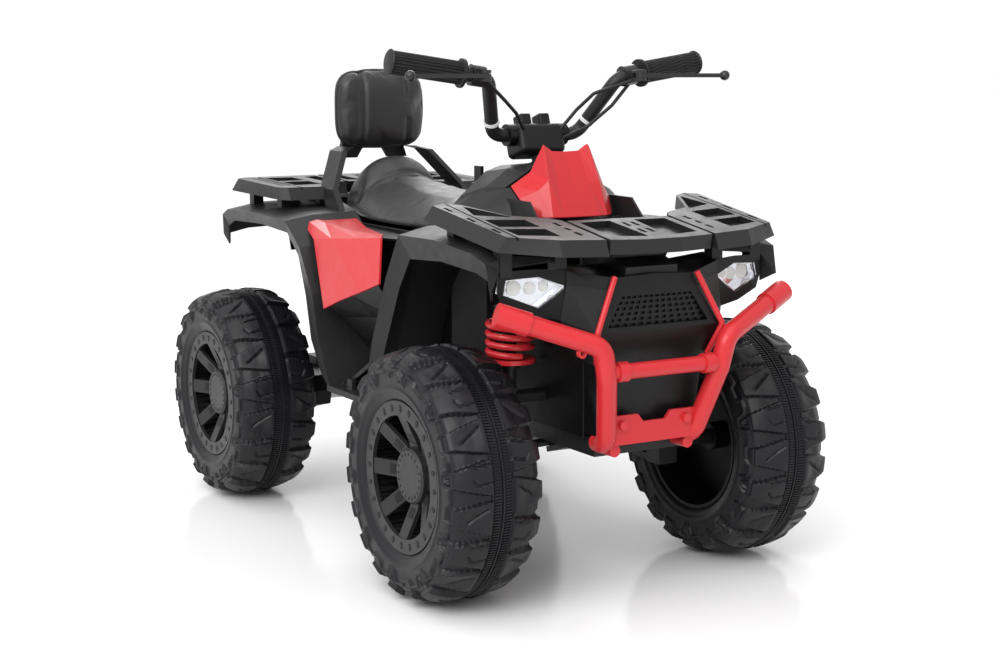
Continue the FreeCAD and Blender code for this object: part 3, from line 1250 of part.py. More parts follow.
def key_socket():
    base = key_base()
    return rod(base, base + V(0, 0, 2 * KEY_SWITCH_HEIGHT), KEY_THICKNESS + RUNNING_FIT)


def key_switch():
    """Short barrel moulded on the tank cover round the key's socket."""
    base = key_base()
    barrel = rod(base - V(0, 0, KEY_SWITCH_HEIGHT), base + V(0, 0, KEY_SWITCH_HEIGHT), KEY_RADIUS)
    return barrel.cut(key_socket())


def ignition_key():
    base = key_base()
    top = base.z + KEY_SWITCH_HEIGHT + RUNNING_GAP
    shank = rod(V(base.x, base.y, base.z + RUNNING_GAP), V(base.x, base.y, top + KEY_THICKNESS), KEY_THICKNESS)
    head = box(base.x - KEY_WIDTH / 2, base.x + KEY_WIDTH / 2, base.y - KEY_THICKNESS / 2,
               base.y + KEY_THICKNESS / 2, top, top + KEY_HEIGHT)
    return shank.fuse(head)


def middle_x():
    """Middle of the whole bike between the bumper and the back of the rear tyres."""
    return (front_bumper().BoundBox.XMax + REAR_X + tyre().BoundBox.XMin) / 2


def save(name, shape):
    """Move a piece to the final origin, report it and write it."""
    final = shifted(shape, V(-ORIGIN_X, 0, 0))
    bad = [solid for solid in final.Solids if not solid.isValid()]
    print(name, len(final.Solids), round(final.Volume), "INVALID" if bad else "")
    final.exportStep("parts/" + name + ".step")


def save_wheels():
    pieces = {"tyre": tyre(), "rim": rim(), "hub_cap": hub_cap()}
    for place, x in (("front", FRONT_X), ("rear", REAR_X)):
        for word, side in (("right", RIGHT), ("left", LEFT)):
            for name, shape in pieces.items():
                save("_".join((place, word, name)), placed_wheel_piece(shape, x, side))


def save_sided(name, shape):
    """Write a left piece and its mirror image as two nodes."""
    save("left_" + name, shape)
    save("right_" + name, mirrored(shape))


def save_front_end():
    nut = shifted(axle_nut(), V(FRONT_X, 0, 0))
    save_sided("steering_knuckle", Part.makeCompound([knuckle(), nut]))
    save_sided("spring_seat", spring_seat())
    save_sided("front_spring", spring())
    save_sided("tie_rod", tie_rod())


def save_steering():
    bar = handlebar()
    column = trimmed(steering_column(), tube(mirrored_path(BAR_PATH), BAR_RADIUS, BAR_BEND))
    perch = lever_perch([bar])
    cables = [cable(CABLE_RIGHT, RIGHT), cable(CABLE_LEFT, LEFT), cable(CABLE_LEFT_LOW, LEFT)]
    pin = lever_pin()
    perch = trimmed(perch, pin, cables[1], cables[2], mirrored(cables[0]))
    save("steering_column", column)
    save("handlebar", bar)
    save("bar_cover", bar_cover([bar, column] + cables))
    save("handlebar_grips", pair(grip()))
    save("lever_perches", pair(Part.makeCompound([perch, pin])))
    save("control_cables", Part.makeCompound(cables))
    save("cable_ties", pair(trimmed(cable_tie(), *cables, mirrored(cables[0]))))
    save_sided("brake_lever", brake_lever())


def save_lights(surround, neighbours):
    """Headlight reflectors, lenses and lamps."""
    save("headlight_lenses", pair(headlight_lens(surround)))
    save("headlight_reflectors", pair(trimmed(headlight_reflector(surround), *neighbours)))
    lamps = headlight_lamps()
    save("headlight_lamps", Part.makeCompound(lamps + [mirrored(one) for one in lamps]))


def save_nose(front_fender, tub, bumper):
    """Fascia with its lights, grille and trims; returns the fascia."""
    surround = panel(HEADLIGHT_SURROUND, SHELL)
    bezel = surround.cut(headlight_hole())
    skin = panel(full_width(FASCIA), SHELL).multiFuse([bezel, mirrored(bezel)])
    fascia = trimmed(skin, grille_opening(), tub, bumper, front_fender, mirrored(front_fender))
    save("front_fascia", fascia)
    save_lights(surround, [fascia, front_fender])
    save("grille_insert", trimmed(grille_insert(), fascia))
    save("grille_trims", pair(trimmed(grille_trim(), bumper)))
    return fascia


def save_sides(tub, board):
    """Fenders, side panels and skirts; returns the fenders and the side panel of the left side."""
    front_fender = trimmed(panel(FRONT_FENDER, -SHELL), tub, board)
    rear_fender = trimmed(panel(REAR_FENDER, -SHELL), tub, board)
    side = trimmed(panel(SIDE_PANEL, SHELL), tub, rear_fender, front_fender)
    around = [tub, board, side, rear_fender, front_fender]
    skirt = trimmed(panel(SIDE_SKIRT, SHELL), *around)
    knee = trimmed(panel(SIDE_KNEE, SHELL), skirt, *around)
    save("front_fenders", pair(front_fender))
    save("rear_fenders", pair(rear_fender))
    save("side_panels", pair(side))
    save("side_skirts", Part.makeCompound([pair(skirt), pair(knee)]))
    return front_fender, rear_fender, side


def cowl_wings(neighbours):
    """Dark moulding round the foot of the cowl: a wing and a gusset each side, joined by a deck under the rack."""
    wing = panel(raised(COWL_WING), SHELL)
    gusset = panel(COWL_GUSSET, SHELL)
    deck = panel(full_width(COWL_DECK), SHELL)
    whole = deck.multiFuse([wing, gusset, mirrored(wing), mirrored(gusset)])
    return trimmed(whole, *neighbours)


def save_top(tub, front_fender, rear_fender, side, fascia):
    """Cowl, tank cover, racks, tail panel, seat and backrest."""
    cowl = panel(full_width(raised(COWL)), SHELL)
    switch = key_switch()
    column_hole = along_column(COLUMN_TOP, COLUMN_TOP_Z, 0, COLUMN_BOSS_RADIUS)
    sides = [side, mirrored(side), tub]
    fenders = [front_fender, mirrored(front_fender)]
    skin = panel(full_width(raised(TANK)), SHELL)
    tank = trimmed(skin, cowl, key_socket(), column_hole, *sides, *fenders).fuse(switch)
    wings = cowl_wings([cowl, tank, *fenders])
    cushion = seat()
    save("front_cowl", cowl)
    save("tank_cover", tank)
    save("cowl_wings", wings)
    fronts = fenders + [cowl, wings, fascia]
    rears = [rear_fender, mirrored(rear_fender)]
    save("front_rack", front_rack(fronts))
    luggage = rear_rack(rears)
    save("rear_rack", luggage)
    save("tail_panel", trimmed(panel(full_width(TAIL_PANEL), SHELL), tub, *rears))
    pad = backrest_pad()
    save("seat", cushion)
    save("backrest_pad", pad)
    save("backrest_bracket", backrest_bracket([cushion, pad, luggage] + rears + sides))


def save_drive():
    save("battery", battery())
    save("control_box", control_box())
    save("gearboxes", pair(gearbox()))
    save("motors", pair(motor()))
    save("rear_axle", rear_axle())


def save_body():
    frame = chassis_frame()
    tub = body_tub([frame])
    board = footboard()
    bumper = front_bumper()
    save("chassis_frame", frame)
    save("body_tub", tub)
    front_fender, rear_fender, side = save_sides(tub, board)
    save("front_bumper", bumper)
    save("chassis_fasteners", Part.makeCompound([pair(bumper_bolt()), rear_nuts()]))
    fascia = save_nose(front_fender, tub, bumper)
    save_top(tub, front_fender, rear_fender, side, fascia)
    save("footboards", Part.makeCompound([board, mirrored(board).fuse(pedal_mount())]))
    save("accelerator_pedal", accelerator_pedal())
    save("ignition_key", ignition_key())
    save_drive()


ORIGIN_X = middle_x()
os.makedirs("parts", exist_ok=True)
save_wheels()
save_front_end()
save_steering()
save_body()
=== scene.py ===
"""Looks of the kids quad bike: materials, tyres, cushions and trim around the fixed CAD frame."""

import math

import bpy
import numpy as np
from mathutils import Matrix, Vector
from mathutils.bvhtree import BVHTree


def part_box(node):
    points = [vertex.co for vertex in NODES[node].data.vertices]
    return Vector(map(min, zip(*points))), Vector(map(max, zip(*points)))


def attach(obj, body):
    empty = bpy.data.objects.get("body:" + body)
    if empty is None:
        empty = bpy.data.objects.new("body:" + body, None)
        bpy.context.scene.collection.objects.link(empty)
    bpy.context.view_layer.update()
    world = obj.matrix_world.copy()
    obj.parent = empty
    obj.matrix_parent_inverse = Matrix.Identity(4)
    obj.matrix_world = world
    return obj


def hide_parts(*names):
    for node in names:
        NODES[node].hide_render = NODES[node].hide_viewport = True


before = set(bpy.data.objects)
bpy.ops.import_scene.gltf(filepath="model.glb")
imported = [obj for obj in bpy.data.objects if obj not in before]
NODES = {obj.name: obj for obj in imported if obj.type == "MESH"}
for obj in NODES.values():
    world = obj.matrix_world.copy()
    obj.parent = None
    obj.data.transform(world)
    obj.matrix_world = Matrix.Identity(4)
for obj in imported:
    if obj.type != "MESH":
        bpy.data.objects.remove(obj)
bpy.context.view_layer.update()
MM = 0.001
FULL_TURN = 2 * math.pi
FAR_AWAY = 1e9
SMALLEST_MOVE = 1e-9

# Limits outside every share, for masks that ease at one end only
BEFORE_START = -1.0
PAST_END = 2.0

# Camera, fitted to the wheels in the photograph
CAMERA_PLACE = (2.3249, -1.3209, 0.7164)
CAMERA_AZIMUTH = 59.388
CAMERA_DOWN = 8.819
CAMERA_LENS_MM = 61.31
CAMERA_SENSOR_MM = 36.0

# Soft edges of the moulded pieces
EDGE_RADIUS = 1.6 * MM
EDGE_ANGLE = math.radians(28)
EDGE_SEGMENTS = 2
WELD_DISTANCE = 0.05 * MM
SMOOTH_ANGLE = math.radians(35)

# Tyre: share of the way from the middle of the tread (0) to the bead (1), then place across and radius in mm
TYRE_CURVE = [(0.0, 0.0, 166.5), (0.15, 15.0, 166.2), (0.3, 31.0, 165.0), (0.45, 47.0, 162.0),
              (0.58, 59.0, 155.0), (0.7, 65.5, 141.0), (0.84, 66.0, 121.0), (0.94, 63.0, 109.0),
              (1.0, 58.0, 104.2)]
CARCASS_RADIUS = TYRE_CURVE[0][2] * MM
TYRE_SMOOTHINGS = 3
TYRE_STEPS_AROUND = 640
TYRE_STEPS_ACROSS = 110
LUG_COUNT = 20
LUG_HEIGHT = 8.2 * MM
SIDE_LUG_HEIGHT = 3.0 * MM
LUG_SCOOP = 4.2 * MM
TREAD_BASE = 3.4 * MM
RING_HEIGHT = 1.6 * MM

# Tread blocks: steps and gaps in shares of one lug, spans in shares of the way to the bead
OUTBOARD_SHIFT_SHARE = 0.06
INBOARD_SHIFT_SHARE = 0.56
LUG_GAP_SHARE = 0.04
LUG_TAPER_SHARE = 0.20
LUG_TAPER_START_SHARE = 0.2
LUG_TAPER_LENGTH_SHARE = 0.4
LUG_SPAN_SHARES = (0.13, 0.61)
LUG_STEP_EDGE_SHARE = 0.05
LUG_SPAN_EDGE_SHARE = 0.03
SCOOP_REACH_SHARE = 0.4
SCOOP_SPAN_SHARES = (0.2, 0.58)
SCOOP_EDGE_SHARE = 0.12
TAIL_STEP_SHARES = (0.24, 0.76)
TAIL_SPAN_SHARES = (0.58, 0.665)
RING_SPAN_SHARES = (0.82, 0.88)
RING_EDGE_SHARE = 0.012
BASE_END_SHARE = 0.32
BASE_EDGE_SHARE = 0.14

# Tread lines over two lugs, as points (lugs round, share across)
TREAD_GROOVES = [[(0.18, 0.17), (0.24, 0.38), (0.06, 0.43)], [(0.62, 0.17), (0.68, 0.34), (0.52, 0.39)],
                 [(1.26, 0.22), (1.60, 0.46)]]
SHOULDER_RIDGES = [
    [(-0.1, 0.66), (0.16, 0.665), (0.28, 0.765), (0.62, 0.765), (0.74, 0.665), (1.14, 0.665), (1.26, 0.72),
     (1.66, 0.72), (1.78, 0.66), (2.1, 0.66)],
    [(0.36, 0.66), (0.42, 0.715), (0.52, 0.715), (0.58, 0.66)],
]
GROOVE_DEPTH = 2.6 * MM
GROOVE_WIDTH = 1.5 * MM
RIDGE_HEIGHT = 3.2 * MM
RIDGE_WIDTH = 2.0 * MM
LINE_REACH_WIDTHS = 1.6

# Half of the band round the middle of the tread: places across, then heights without and with a tick, in mm
BAND_STEPS_PER_TICK = 6
TICK_COUNT = 264
BAND_COLUMNS = [(-17.4, 0.0, 0.0), (-17.0, 4.6, 4.6), (-15.0, 4.6, 4.6), (-14.6, 3.0, 3.0), (-13.4, 3.0, 3.0),
                (-13.0, 3.2, 5.2), (-3.8, 3.2, 5.2), (-3.4, 3.0, 3.0), (-1.2, 3.0, 3.0), (-0.8, 5.6, 5.6)]

# Dark inlays on the wheels, and black painted shade deep in the rim dish; shares are of the radius of the rim
# or the cap
RING_INLAYS = 24
RING_INLAY_SHARE = 0.904
RING_INLAY_SIZE = (4.0 * MM, 5.4 * MM, 0.7 * MM)
DISH_SHADE_DEPTH = 30.0 * MM
SPOKE_COUNT = 8
SPOKE_INLAY_SHARES = (0.43, 0.56)
SPOKE_INLAY_HALF_WIDTH = 7.0 * MM
SPOKE_RISE_SHARES = (0.423, 0.846)
SPOKE_FACE_DROP = 20.0 * MM
CAP_INLAYS = 20
CAP_INLAY_SHARE = 0.80
CAP_INLAY_SIZE = (1.7 * MM, 2.3 * MM, 0.5 * MM)
INLAY_PROUD = 0.25 * MM
INLAY_BEVEL = 3 * INLAY_PROUD
BUTTON_SIDES = 14
BUTTON_LAYER_SHARES = ((1.0, 0.0), (0.86, 0.8), (0.5, 1.0))
CORNERS_IN_ORDER = (0, 1, 3, 2)

# Cushions
CUSHION_VOXEL = 5 * MM
CUSHION_SHRINK = 4 * MM
CUSHION_PRESSURE = 4.0
CUSHION_STEPS = 20
CLOTH_QUALITY = 5
SEAT_CAP = 6 * MM
PAD_CAP = 7 * MM
SEAT_HELD_HEIGHT = 12 * MM
SEAT_SEAM_SHARE = 0.165
SEAT_SEAM_BOW = 34 * MM
SEAT_SEAM_SPAN_SHARE = 0.68
SEAT_FOLD_SHARES = (0.36, 0.44, 0.52)
SEAM_DEPTH = 3.2 * MM
SEAM_WIDTH = 5.0 * MM
FOLD_DEPTH = 1.4 * MM
FOLD_WIDTH = 9.0 * MM
THREAD_RADIUS = 0.9 * MM
PIPING_RADIUS = 2.4 * MM
PAD_SEAM_SHARES = (-0.52, -0.45, 0.50)
PAD_SEAM_SPAN_SHARE = 0.92
SEAT_SEAM_STEPS = 81
PAD_SEAM_STEPS = 61
PIPING_STEPS = 140
STRAND_ROUNDNESS = 2
DOWN = (0, 0, -1)
BACK = (-1, 0, 0)

# Grips
GRIP_BARREL = 15.4 * MM
GRIP_FLUTE = 0.9 * MM
GRIP_FLUTES = 22
GRIP_WAVES = 2.5
GRIP_INNER_FLANGE = 20.5 * MM
GRIP_OUTER_FLANGE = 18.0 * MM
GRIP_STEPS_ALONG = 90
GRIP_STEPS_AROUND = 120
GRIP_WAVE_REACH = 2.2
GRIP_SQUARENESS = 1.6
GRIP_INNER_SHARE = 0.05
GRIP_OUTER_SHARE = 0.955
GRIP_EDGE_SHARE = 0.012
GRIP_ROUND_SHARE = 0.985
GRIP_ROUND_LOSS_SHARE = 0.14

# Surfaces: scales are those of noise patterns, per metre
NOISE_DETAIL = 4.0
NOISE_LOW = 0.3
NOISE_HIGH = 0.7
DRIFT_SCALE = 7.0
GLOSS_SCALE = 45.0
GLOSS_LEVEL = 0.28
ROUGHNESS_BELOW = 0.05
ROUGHNESS_ABOVE = 0.06
COAT_ROUGHNESS = 0.12
GRAIN_SCALE = 1400.0
GRAIN_DETAIL = 2.0
GRAIN_DEPTH = 0.3 * MM
PEBBLE_SCALE = 420.0
PEBBLE_STRENGTH = 0.35
PEBBLE_DEPTH = 0.6 * MM
LEATHER_DRIFT_SCALE = 14.0
LEATHER_SPREAD = 0.18
LEATHER_GLOSS_SCALE = 60.0
LEATHER_ROUGHNESS = (0.40, 0.52)
LEATHER_SHEEN = 0.08
LENS_COLOUR = (0.97, 0.98, 1.0, 1)
LENS_REFRACTION = 1.25
LENS_SCALE = 30.0
LENS_ROUGHNESS = (0.02, 0.06)

# Studio
WORLD_LEVEL = 0.55
FLOOR_HALF = 30.0
FLOOR_SCALE = 0.6
FLOOR_SPREAD = 0.01
FLOOR_ROUGHNESS = 0.13
FLOOR_GLOSS = 0.22
SUN_FROM = (0.3, -0.5, 1.0)
SUN_STRENGTH = 2.1
SUN_SPREAD = 90
LAMP_TARGET = (0, 0, 0.35)
LAMPS = [("key_light", (1.8, -2.4, 2.2), (2.4, 1.6), 60), ("rim_light", (-2.6, 1.6, 2.4), (2.0, 1.2), 40)]

COLOURS = {
    "red": (0.560, 0.024, 0.030),
    "grey": (0.014, 0.0135, 0.0145),
    "black": (0.003, 0.003, 0.0034),
    "tyre": (0.0065, 0.0066, 0.0082),
    "rim": (0.022, 0.021, 0.021),
    "steel_black": (0.015, 0.015, 0.016),
    "bright": (0.60, 0.60, 0.61),
    "chrome": (0.86, 0.86, 0.88),
    "leather": (0.0055, 0.0055, 0.0062),
    "rubber": (0.013, 0.013, 0.014),
    "alloy": (0.016, 0.016, 0.017),
    "cable": (0.010, 0.010, 0.010),
    "white": (0.80, 0.80, 0.80),
    "lamp": (0.92, 0.92, 0.86),
    "floor": (0.93, 0.93, 0.93),
}


# Materials
def new_material(name):
    material = bpy.data.materials.new(name)
    material.use_nodes = True
    tree = material.node_tree
    shader = tree.nodes["Principled BSDF"]
    place = tree.nodes.new("ShaderNodeTexCoord")
    return material, tree, shader, place.outputs["Object"]


def noise(tree, place, scale, detail=NOISE_DETAIL):
    node = tree.nodes.new("ShaderNodeTexNoise")
    node.inputs["Scale"].default_value = scale
    node.inputs["Detail"].default_value = detail
    tree.links.new(place, node.inputs["Vector"])
    return node.outputs["Fac"]


def ranged(tree, value, low, high):
    """Stretches the usual span of a noise to run from low to high."""
    node = tree.nodes.new("ShaderNodeMapRange")
    node.inputs["From Min"].default_value = NOISE_LOW
    node.inputs["From Max"].default_value = NOISE_HIGH
    node.inputs["To Min"].default_value = low
    node.inputs["To Max"].default_value = high
    tree.links.new(value, node.inputs["Value"])
    return node.outputs["Result"]


def bumped(tree, shader, height, strength, distance):
    node = tree.nodes.new("ShaderNodeBump")
    node.inputs["Strength"].default_value = strength
    node.inputs["Distance"].default_value = distance
    tree.links.new(height, node.inputs["Height"])
    tree.links.new(node.outputs["Normal"], shader.inputs["Normal"])


def mottled(tree, shader, value, colour, spread):
    """Lets the colour drift by spread to the darker and the lighter side."""
    node = tree.nodes.new("ShaderNodeMix")
    node.data_type = "RGBA"
    light = [min(1.0, c * (1 + spread)) for c in colour]
    dark = [c * (1 - spread) for c in colour]
    node.inputs["A"].default_value = (*dark, 1)
    node.inputs["B"].default_value = (*light, 1)
    tree.links.new(value, node.inputs["Factor"])
    tree.links.new(node.outputs["Result"], shader.inputs["Base Color"])


def moulded(name, colour, rough, grain, spread, grain_scale=GRAIN_SCALE, metallic=0.0, coat=0.0):
    """Moulded or painted surface: fine grain, slow colour drift and uneven gloss."""
    material, tree, shader, place = new_material(name)
    mottled(tree, shader, noise(tree, place, DRIFT_SCALE), COLOURS[colour], spread)
    patches = noise(tree, place, GLOSS_SCALE)
    gloss = ranged(tree, patches, rough - ROUGHNESS_BELOW, rough + ROUGHNESS_ABOVE)
    tree.links.new(gloss, shader.inputs["Roughness"])
    bumped(tree, shader, noise(tree, place, grain_scale, GRAIN_DETAIL), grain, GRAIN_DEPTH)
    shader.inputs["Metallic"].default_value = metallic
    shader.inputs["Specular IOR Level"].default_value = GLOSS_LEVEL
    shader.inputs["Coat Weight"].default_value = coat
    shader.inputs["Coat Roughness"].default_value = COAT_ROUGHNESS
    return material


def grained_leather(name, colour):
    """Leatherette: pebble grain from cell edges, slow colour drift and uneven gloss."""
    material, tree, shader, place = new_material(name)
    cells = tree.nodes.new("ShaderNodeTexVoronoi")
    cells.feature = "DISTANCE_TO_EDGE"
    cells.inputs["Scale"].default_value = PEBBLE_SCALE
    tree.links.new(place, cells.inputs["Vector"])
    mottled(tree, shader, noise(tree, place, LEATHER_DRIFT_SCALE), COLOURS[colour], LEATHER_SPREAD)
    gloss = ranged(tree, noise(tree, place, LEATHER_GLOSS_SCALE), *LEATHER_ROUGHNESS)
    tree.links.new(gloss, shader.inputs["Roughness"])
    bumped(tree, shader, cells.outputs["Distance"], PEBBLE_STRENGTH, PEBBLE_DEPTH)
    shader.inputs["Sheen Weight"].default_value = LEATHER_SHEEN
    return material


def clear_lens(name):
    material, tree, shader, place = new_material(name)
    shader.inputs["Base Color"].default_value = LENS_COLOUR
    shader.inputs["Transmission Weight"].default_value = 1.0
    shader.inputs["IOR"].default_value = LENS_REFRACTION
    gloss = ranged(tree, noise(tree, place, LENS_SCALE), *LENS_ROUGHNESS)
    tree.links.new(gloss, shader.inputs["Roughness"])
    return material


def studio_floor(name, colour):
    """White floor with a faint gloss."""
    material, tree, shader, place = new_material(name)
    mottled(tree, shader, noise(tree, place, FLOOR_SCALE), COLOURS[colour], FLOOR_SPREAD)
    shader.inputs["Roughness"].default_value = FLOOR_ROUGHNESS
    shader.inputs["Specular IOR Level"].default_value = FLOOR_GLOSS
    return material


MATERIALS = {
    "red": moulded("red_plastic", "red", rough=0.34, grain=0.05, spread=0.04, coat=0.15),
    "grey": moulded("grey_plastic", "grey", rough=0.44, grain=0.24, spread=0.08),
    "black": moulded("black_plastic", "black", rough=0.44, grain=0.22, spread=0.12),
    "tyre": moulded("tyre_plastic", "tyre", rough=0.40, grain=0.14, spread=0.10, grain_scale=900.0),
    "rim": moulded("rim_plastic", "rim", rough=0.38, grain=0.12, spread=0.07),
    "red_steel": moulded("red_enamel", "red", rough=0.30, grain=0.04, spread=0.05, coat=0.3),
    "steel_black": moulded("black_powder_coat", "steel_black", rough=0.42, grain=0.25, spread=0.15,
                           grain_scale=1100.0),
    "bright": moulded("zinc_plate", "bright", rough=0.32, grain=0.10, spread=0.10, metallic=1.0),
    "chrome": moulded("metallised_reflector", "chrome", rough=0.14, grain=0.05, spread=0.05,
                      grain_scale=600.0, metallic=1.0),
    "leather": grained_leather("leatherette", "leather"),
    "rubber": moulded("grip_rubber", "rubber", rough=0.55, grain=0.25, spread=0.15, grain_scale=1000.0),
    "alloy": moulded("painted_lever", "alloy", rough=0.36, grain=0.12, spread=0.12, grain_scale=700.0,
                     coat=0.2),
    "cable": moulded("cable_sheath", "cable", rough=0.45, grain=0.10, spread=0.15, grain_scale=800.0),
    "white": moulded("white_nylon", "white", rough=0.45, grain=0.10, spread=0.03),
    "lens": clear_lens("clear_lens"),
    "lamp": moulded("frosted_lamp", "lamp", rough=0.30, grain=0.10, spread=0.04, grain_scale=500.0),
    "floor": studio_floor("studio_floor", "floor"),
}
NODE_MATERIALS = {
    "red": ("side_panels", "front_bumper", "grille_trims", "front_cowl"),
    "grey": ("front_fenders", "rear_fenders", "tank_cover", "cowl_wings", "front_rack", "rear_rack",
             "backrest_bracket", "footboards"),
    "black": ("body_tub", "side_skirts", "front_fascia", "grille_insert", "tail_panel", "bar_cover",
              "accelerator_pedal", "ignition_key", "battery", "control_box", "gearboxes"),
    "steel_black": ("chassis_frame", "handlebar", "steering_column", "left_tie_rod", "right_tie_rod",
                    "left_steering_knuckle", "right_steering_knuckle"),
    "bright": ("chassis_fasteners", "motors", "rear_axle"),
    "red_steel": ("left_front_spring", "right_front_spring", "left_spring_seat", "right_spring_seat"),
    "chrome": ("headlight_reflectors",),
    "lens": ("headlight_lenses",),
    "lamp": ("headlight_lamps",),
    "leather": ("seat", "backrest_pad"),
    "rubber": ("handlebar_grips",),
    "alloy": ("left_brake_lever", "right_brake_lever", "lever_perches"),
    "cable": ("control_cables",),
    "white": ("cable_ties",),
}
WHEELS = ("front_right", "front_left", "rear_right", "rear_left")


def paint(obj, key):
    obj.data.materials.clear()
    obj.data.materials.append(MATERIALS[key])


def paint_some(obj, key, chosen):
    """Gives the faces whose middle is chosen a second material."""
    obj.data.materials.append(MATERIALS[key])
    for polygon in obj.data.polygons:
        if chosen(polygon.center):
            polygon.material_index = 1


def soften(obj):
    """Rounded edges on a CAD node, by modifiers only."""
    weld = obj.modifiers.new("weld", "WELD")
    weld.merge_threshold = WELD_DISTANCE
    bevel = obj.modifiers.new("bevel", "BEVEL")
    bevel.width = EDGE_RADIUS
    bevel.segments = EDGE_SEGMENTS
    bevel.limit_method = "ANGLE"
    bevel.angle_limit = EDGE_ANGLE
    bevel.use_clamp_overlap = True
    bevel.harden_normals = False
    normals = obj.modifiers.new("normals", "WEIGHTED_NORMAL")
    normals.keep_sharp = True


def dress_nodes():
    for key, names in NODE_MATERIALS.items():
        for name in names:
            paint(NODES[name], key)
    for wheel in WHEELS:
        paint(NODES[wheel + "_tyre"], "tyre")
        paint(NODES[wheel + "_rim"], "rim")
        paint(NODES[wheel + "_hub_cap"], "rim")
        face = max(abs(bound[1]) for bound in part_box(wheel + "_rim"))
        # Painted shade: the rim's faces well inboard of its outer face, deep in the dish, are painted black
        paint_some(NODES[wheel + "_rim"], "black", lambda spot: abs(spot[1]) < face - DISH_SHADE_DEPTH)
    paint_some(NODES["chassis_fasteners"], "red_steel", lambda spot: spot[0] > 0)
    for key in ("red", "grey", "black"):
        for name in NODE_MATERIALS[key]:
            soften(NODES[name])


def linked(name, data):
    """A new object in the scene that shows the given mesh, curve, lamp or camera."""
    obj = bpy.data.objects.new(name, data)
    bpy.context.scene.collection.objects.link(obj)
    return obj


def smooth(mesh):
    for polygon in mesh.polygons:
        polygon.use_smooth = True


def object_from(name, vertices, faces, key):
    mesh = bpy.data.meshes.new(name)
    mesh.from_pydata([tuple(v) for v in vertices], [], faces)
    mesh.validate()
    smooth(mesh)
    mesh.set_sharp_from_angle(angle=SMOOTH_ANGLE)
    obj = linked(name, mesh)
    paint(obj, key)
    return obj


# Tyres
def box_mask(value, low, high, edge):
    """1 between low and high, easing to 0 over edge on both sides."""
    rise = np.clip((value - low) / edge, 0, 1)
    fall = np.clip((high - value) / edge, 0, 1)
    return rise * fall


def tyre_section():
    """Points of the plain carcass from one bead to the other: share, place across, radius."""
    table = np.array(TYRE_CURVE)
    share = np.linspace(-1, 1, TYRE_STEPS_ACROSS + 1)
    across = np.sign(share) * np.interp(np.abs(share), table[:, 0], table[:, 1]) * MM
    radius = np.interp(np.abs(share), table[:, 0], table[:, 2]) * MM
    for _ in range(TYRE_SMOOTHINGS):
        across[1:-1] = (across[:-2] + 2 * across[1:-1] + across[2:]) / 4
        radius[1:-1] = (radius[:-2] + 2 * radius[1:-1] + radius[2:]) / 4
    return share, across, radius


def away_from(lines, lugs, share):
    """Distance on the carcass from a grid of places to the nearest of several drawn lines."""
    lug_length = FULL_TURN * CARCASS_RADIUS / LUG_COUNT
    side_length = sum(math.dist(a[1:], b[1:]) for a, b in zip(TYRE_CURVE, TYRE_CURVE[1:])) * MM
    scale = np.array([lug_length, side_length])
    places = np.stack([lugs, share], axis=-1) * scale
    nearest = np.full(lugs.shape, FAR_AWAY)
    for line in lines:
        for start, end in zip(np.array(line) * scale, np.array(line[1:]) * scale):
            run = end - start
            part = np.clip((places - start) @ run / (run @ run), 0, 1)
            away = np.linalg.norm(places - start - part[..., None] * run, axis=-1)
            nearest = np.minimum(nearest, away)
    return nearest


def drawn(lines, lugs, share, width):
    """1 on the lines, easing to 0 over the last width of their reach."""
    return np.clip(LINE_REACH_WIDTHS - away_from(lines, lugs, share) / width, 0, 1)


def tread_height(turn, share):
    """Height of the moulded tread over the carcass, for grids of turns (in lugs) and shares."""
    out = np.abs(share)
    shift = np.where(share > 0, OUTBOARD_SHIFT_SHARE, INBOARD_SHIFT_SHARE)
    pair = np.mod(turn + shift, 2.0)
    step = np.mod(pair, 1.0)
    scooped = pair > 1
    taper = np.clip((out - LUG_TAPER_START_SHARE) / LUG_TAPER_LENGTH_SHARE, 0, 1)
    narrow = LUG_GAP_SHARE + LUG_TAPER_SHARE * taper
    lug = box_mask(step, narrow, 1 - narrow, LUG_STEP_EDGE_SHARE)
    lug = lug * box_mask(out, *LUG_SPAN_SHARES, LUG_SPAN_EDGE_SHARE)
    hollow = np.clip(1 - ((step - 0.5) / SCOOP_REACH_SHARE) ** 2, 0, 1)
    scoop = scooped * hollow * box_mask(out, *SCOOP_SPAN_SHARES, SCOOP_EDGE_SHARE)
    groove = drawn(TREAD_GROOVES, pair, out, GROOVE_WIDTH)
    tail = box_mask(step, *TAIL_STEP_SHARES, LUG_STEP_EDGE_SHARE)
    tail = tail * box_mask(out, *TAIL_SPAN_SHARES, LUG_SPAN_EDGE_SHARE)
    ridge = drawn(SHOULDER_RIDGES, pair, out, RIDGE_WIDTH)
    ring = box_mask(out, *RING_SPAN_SHARES, RING_EDGE_SHARE)
    height = LUG_HEIGHT * lug - (LUG_SCOOP * scoop + GROOVE_DEPTH * groove) * lug
    base = box_mask(out, BEFORE_START, BASE_END_SHARE, BASE_EDGE_SHARE)
    height = np.maximum(height, TREAD_BASE * base)
    height = np.maximum(height, SIDE_LUG_HEIGHT * tail)
    height = np.maximum(height, RIDGE_HEIGHT * ridge)
    return np.maximum(height, RING_HEIGHT * ring)


def tyre_shape():
    """Vertices and faces of one tyre about the Y axis, with +Y outboard."""
    share, across, radius = tyre_section()
    along_y = np.gradient(across)
    along_r = np.gradient(radius)
    length = np.hypot(along_y, along_r)
    normal_y, normal_r = -along_r / length, along_y / length
    turns = np.linspace(0, LUG_COUNT, TYRE_STEPS_AROUND, endpoint=False)
    grid_turn, grid_share = np.meshgrid(turns, share, indexing="ij")
    height = tread_height(grid_turn, grid_share)
    angle = grid_turn * (FULL_TURN / LUG_COUNT)
    reach = radius + height * normal_r
    points = np.stack([reach * np.sin(angle), across + height * normal_y, reach * np.cos(angle)], axis=-1)
    return points.reshape(-1, 3), grid_faces(TYRE_STEPS_AROUND, len(share), True)


def wheel_centre(wheel):
    low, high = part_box(wheel + "_tyre")
    return (low + high) / 2


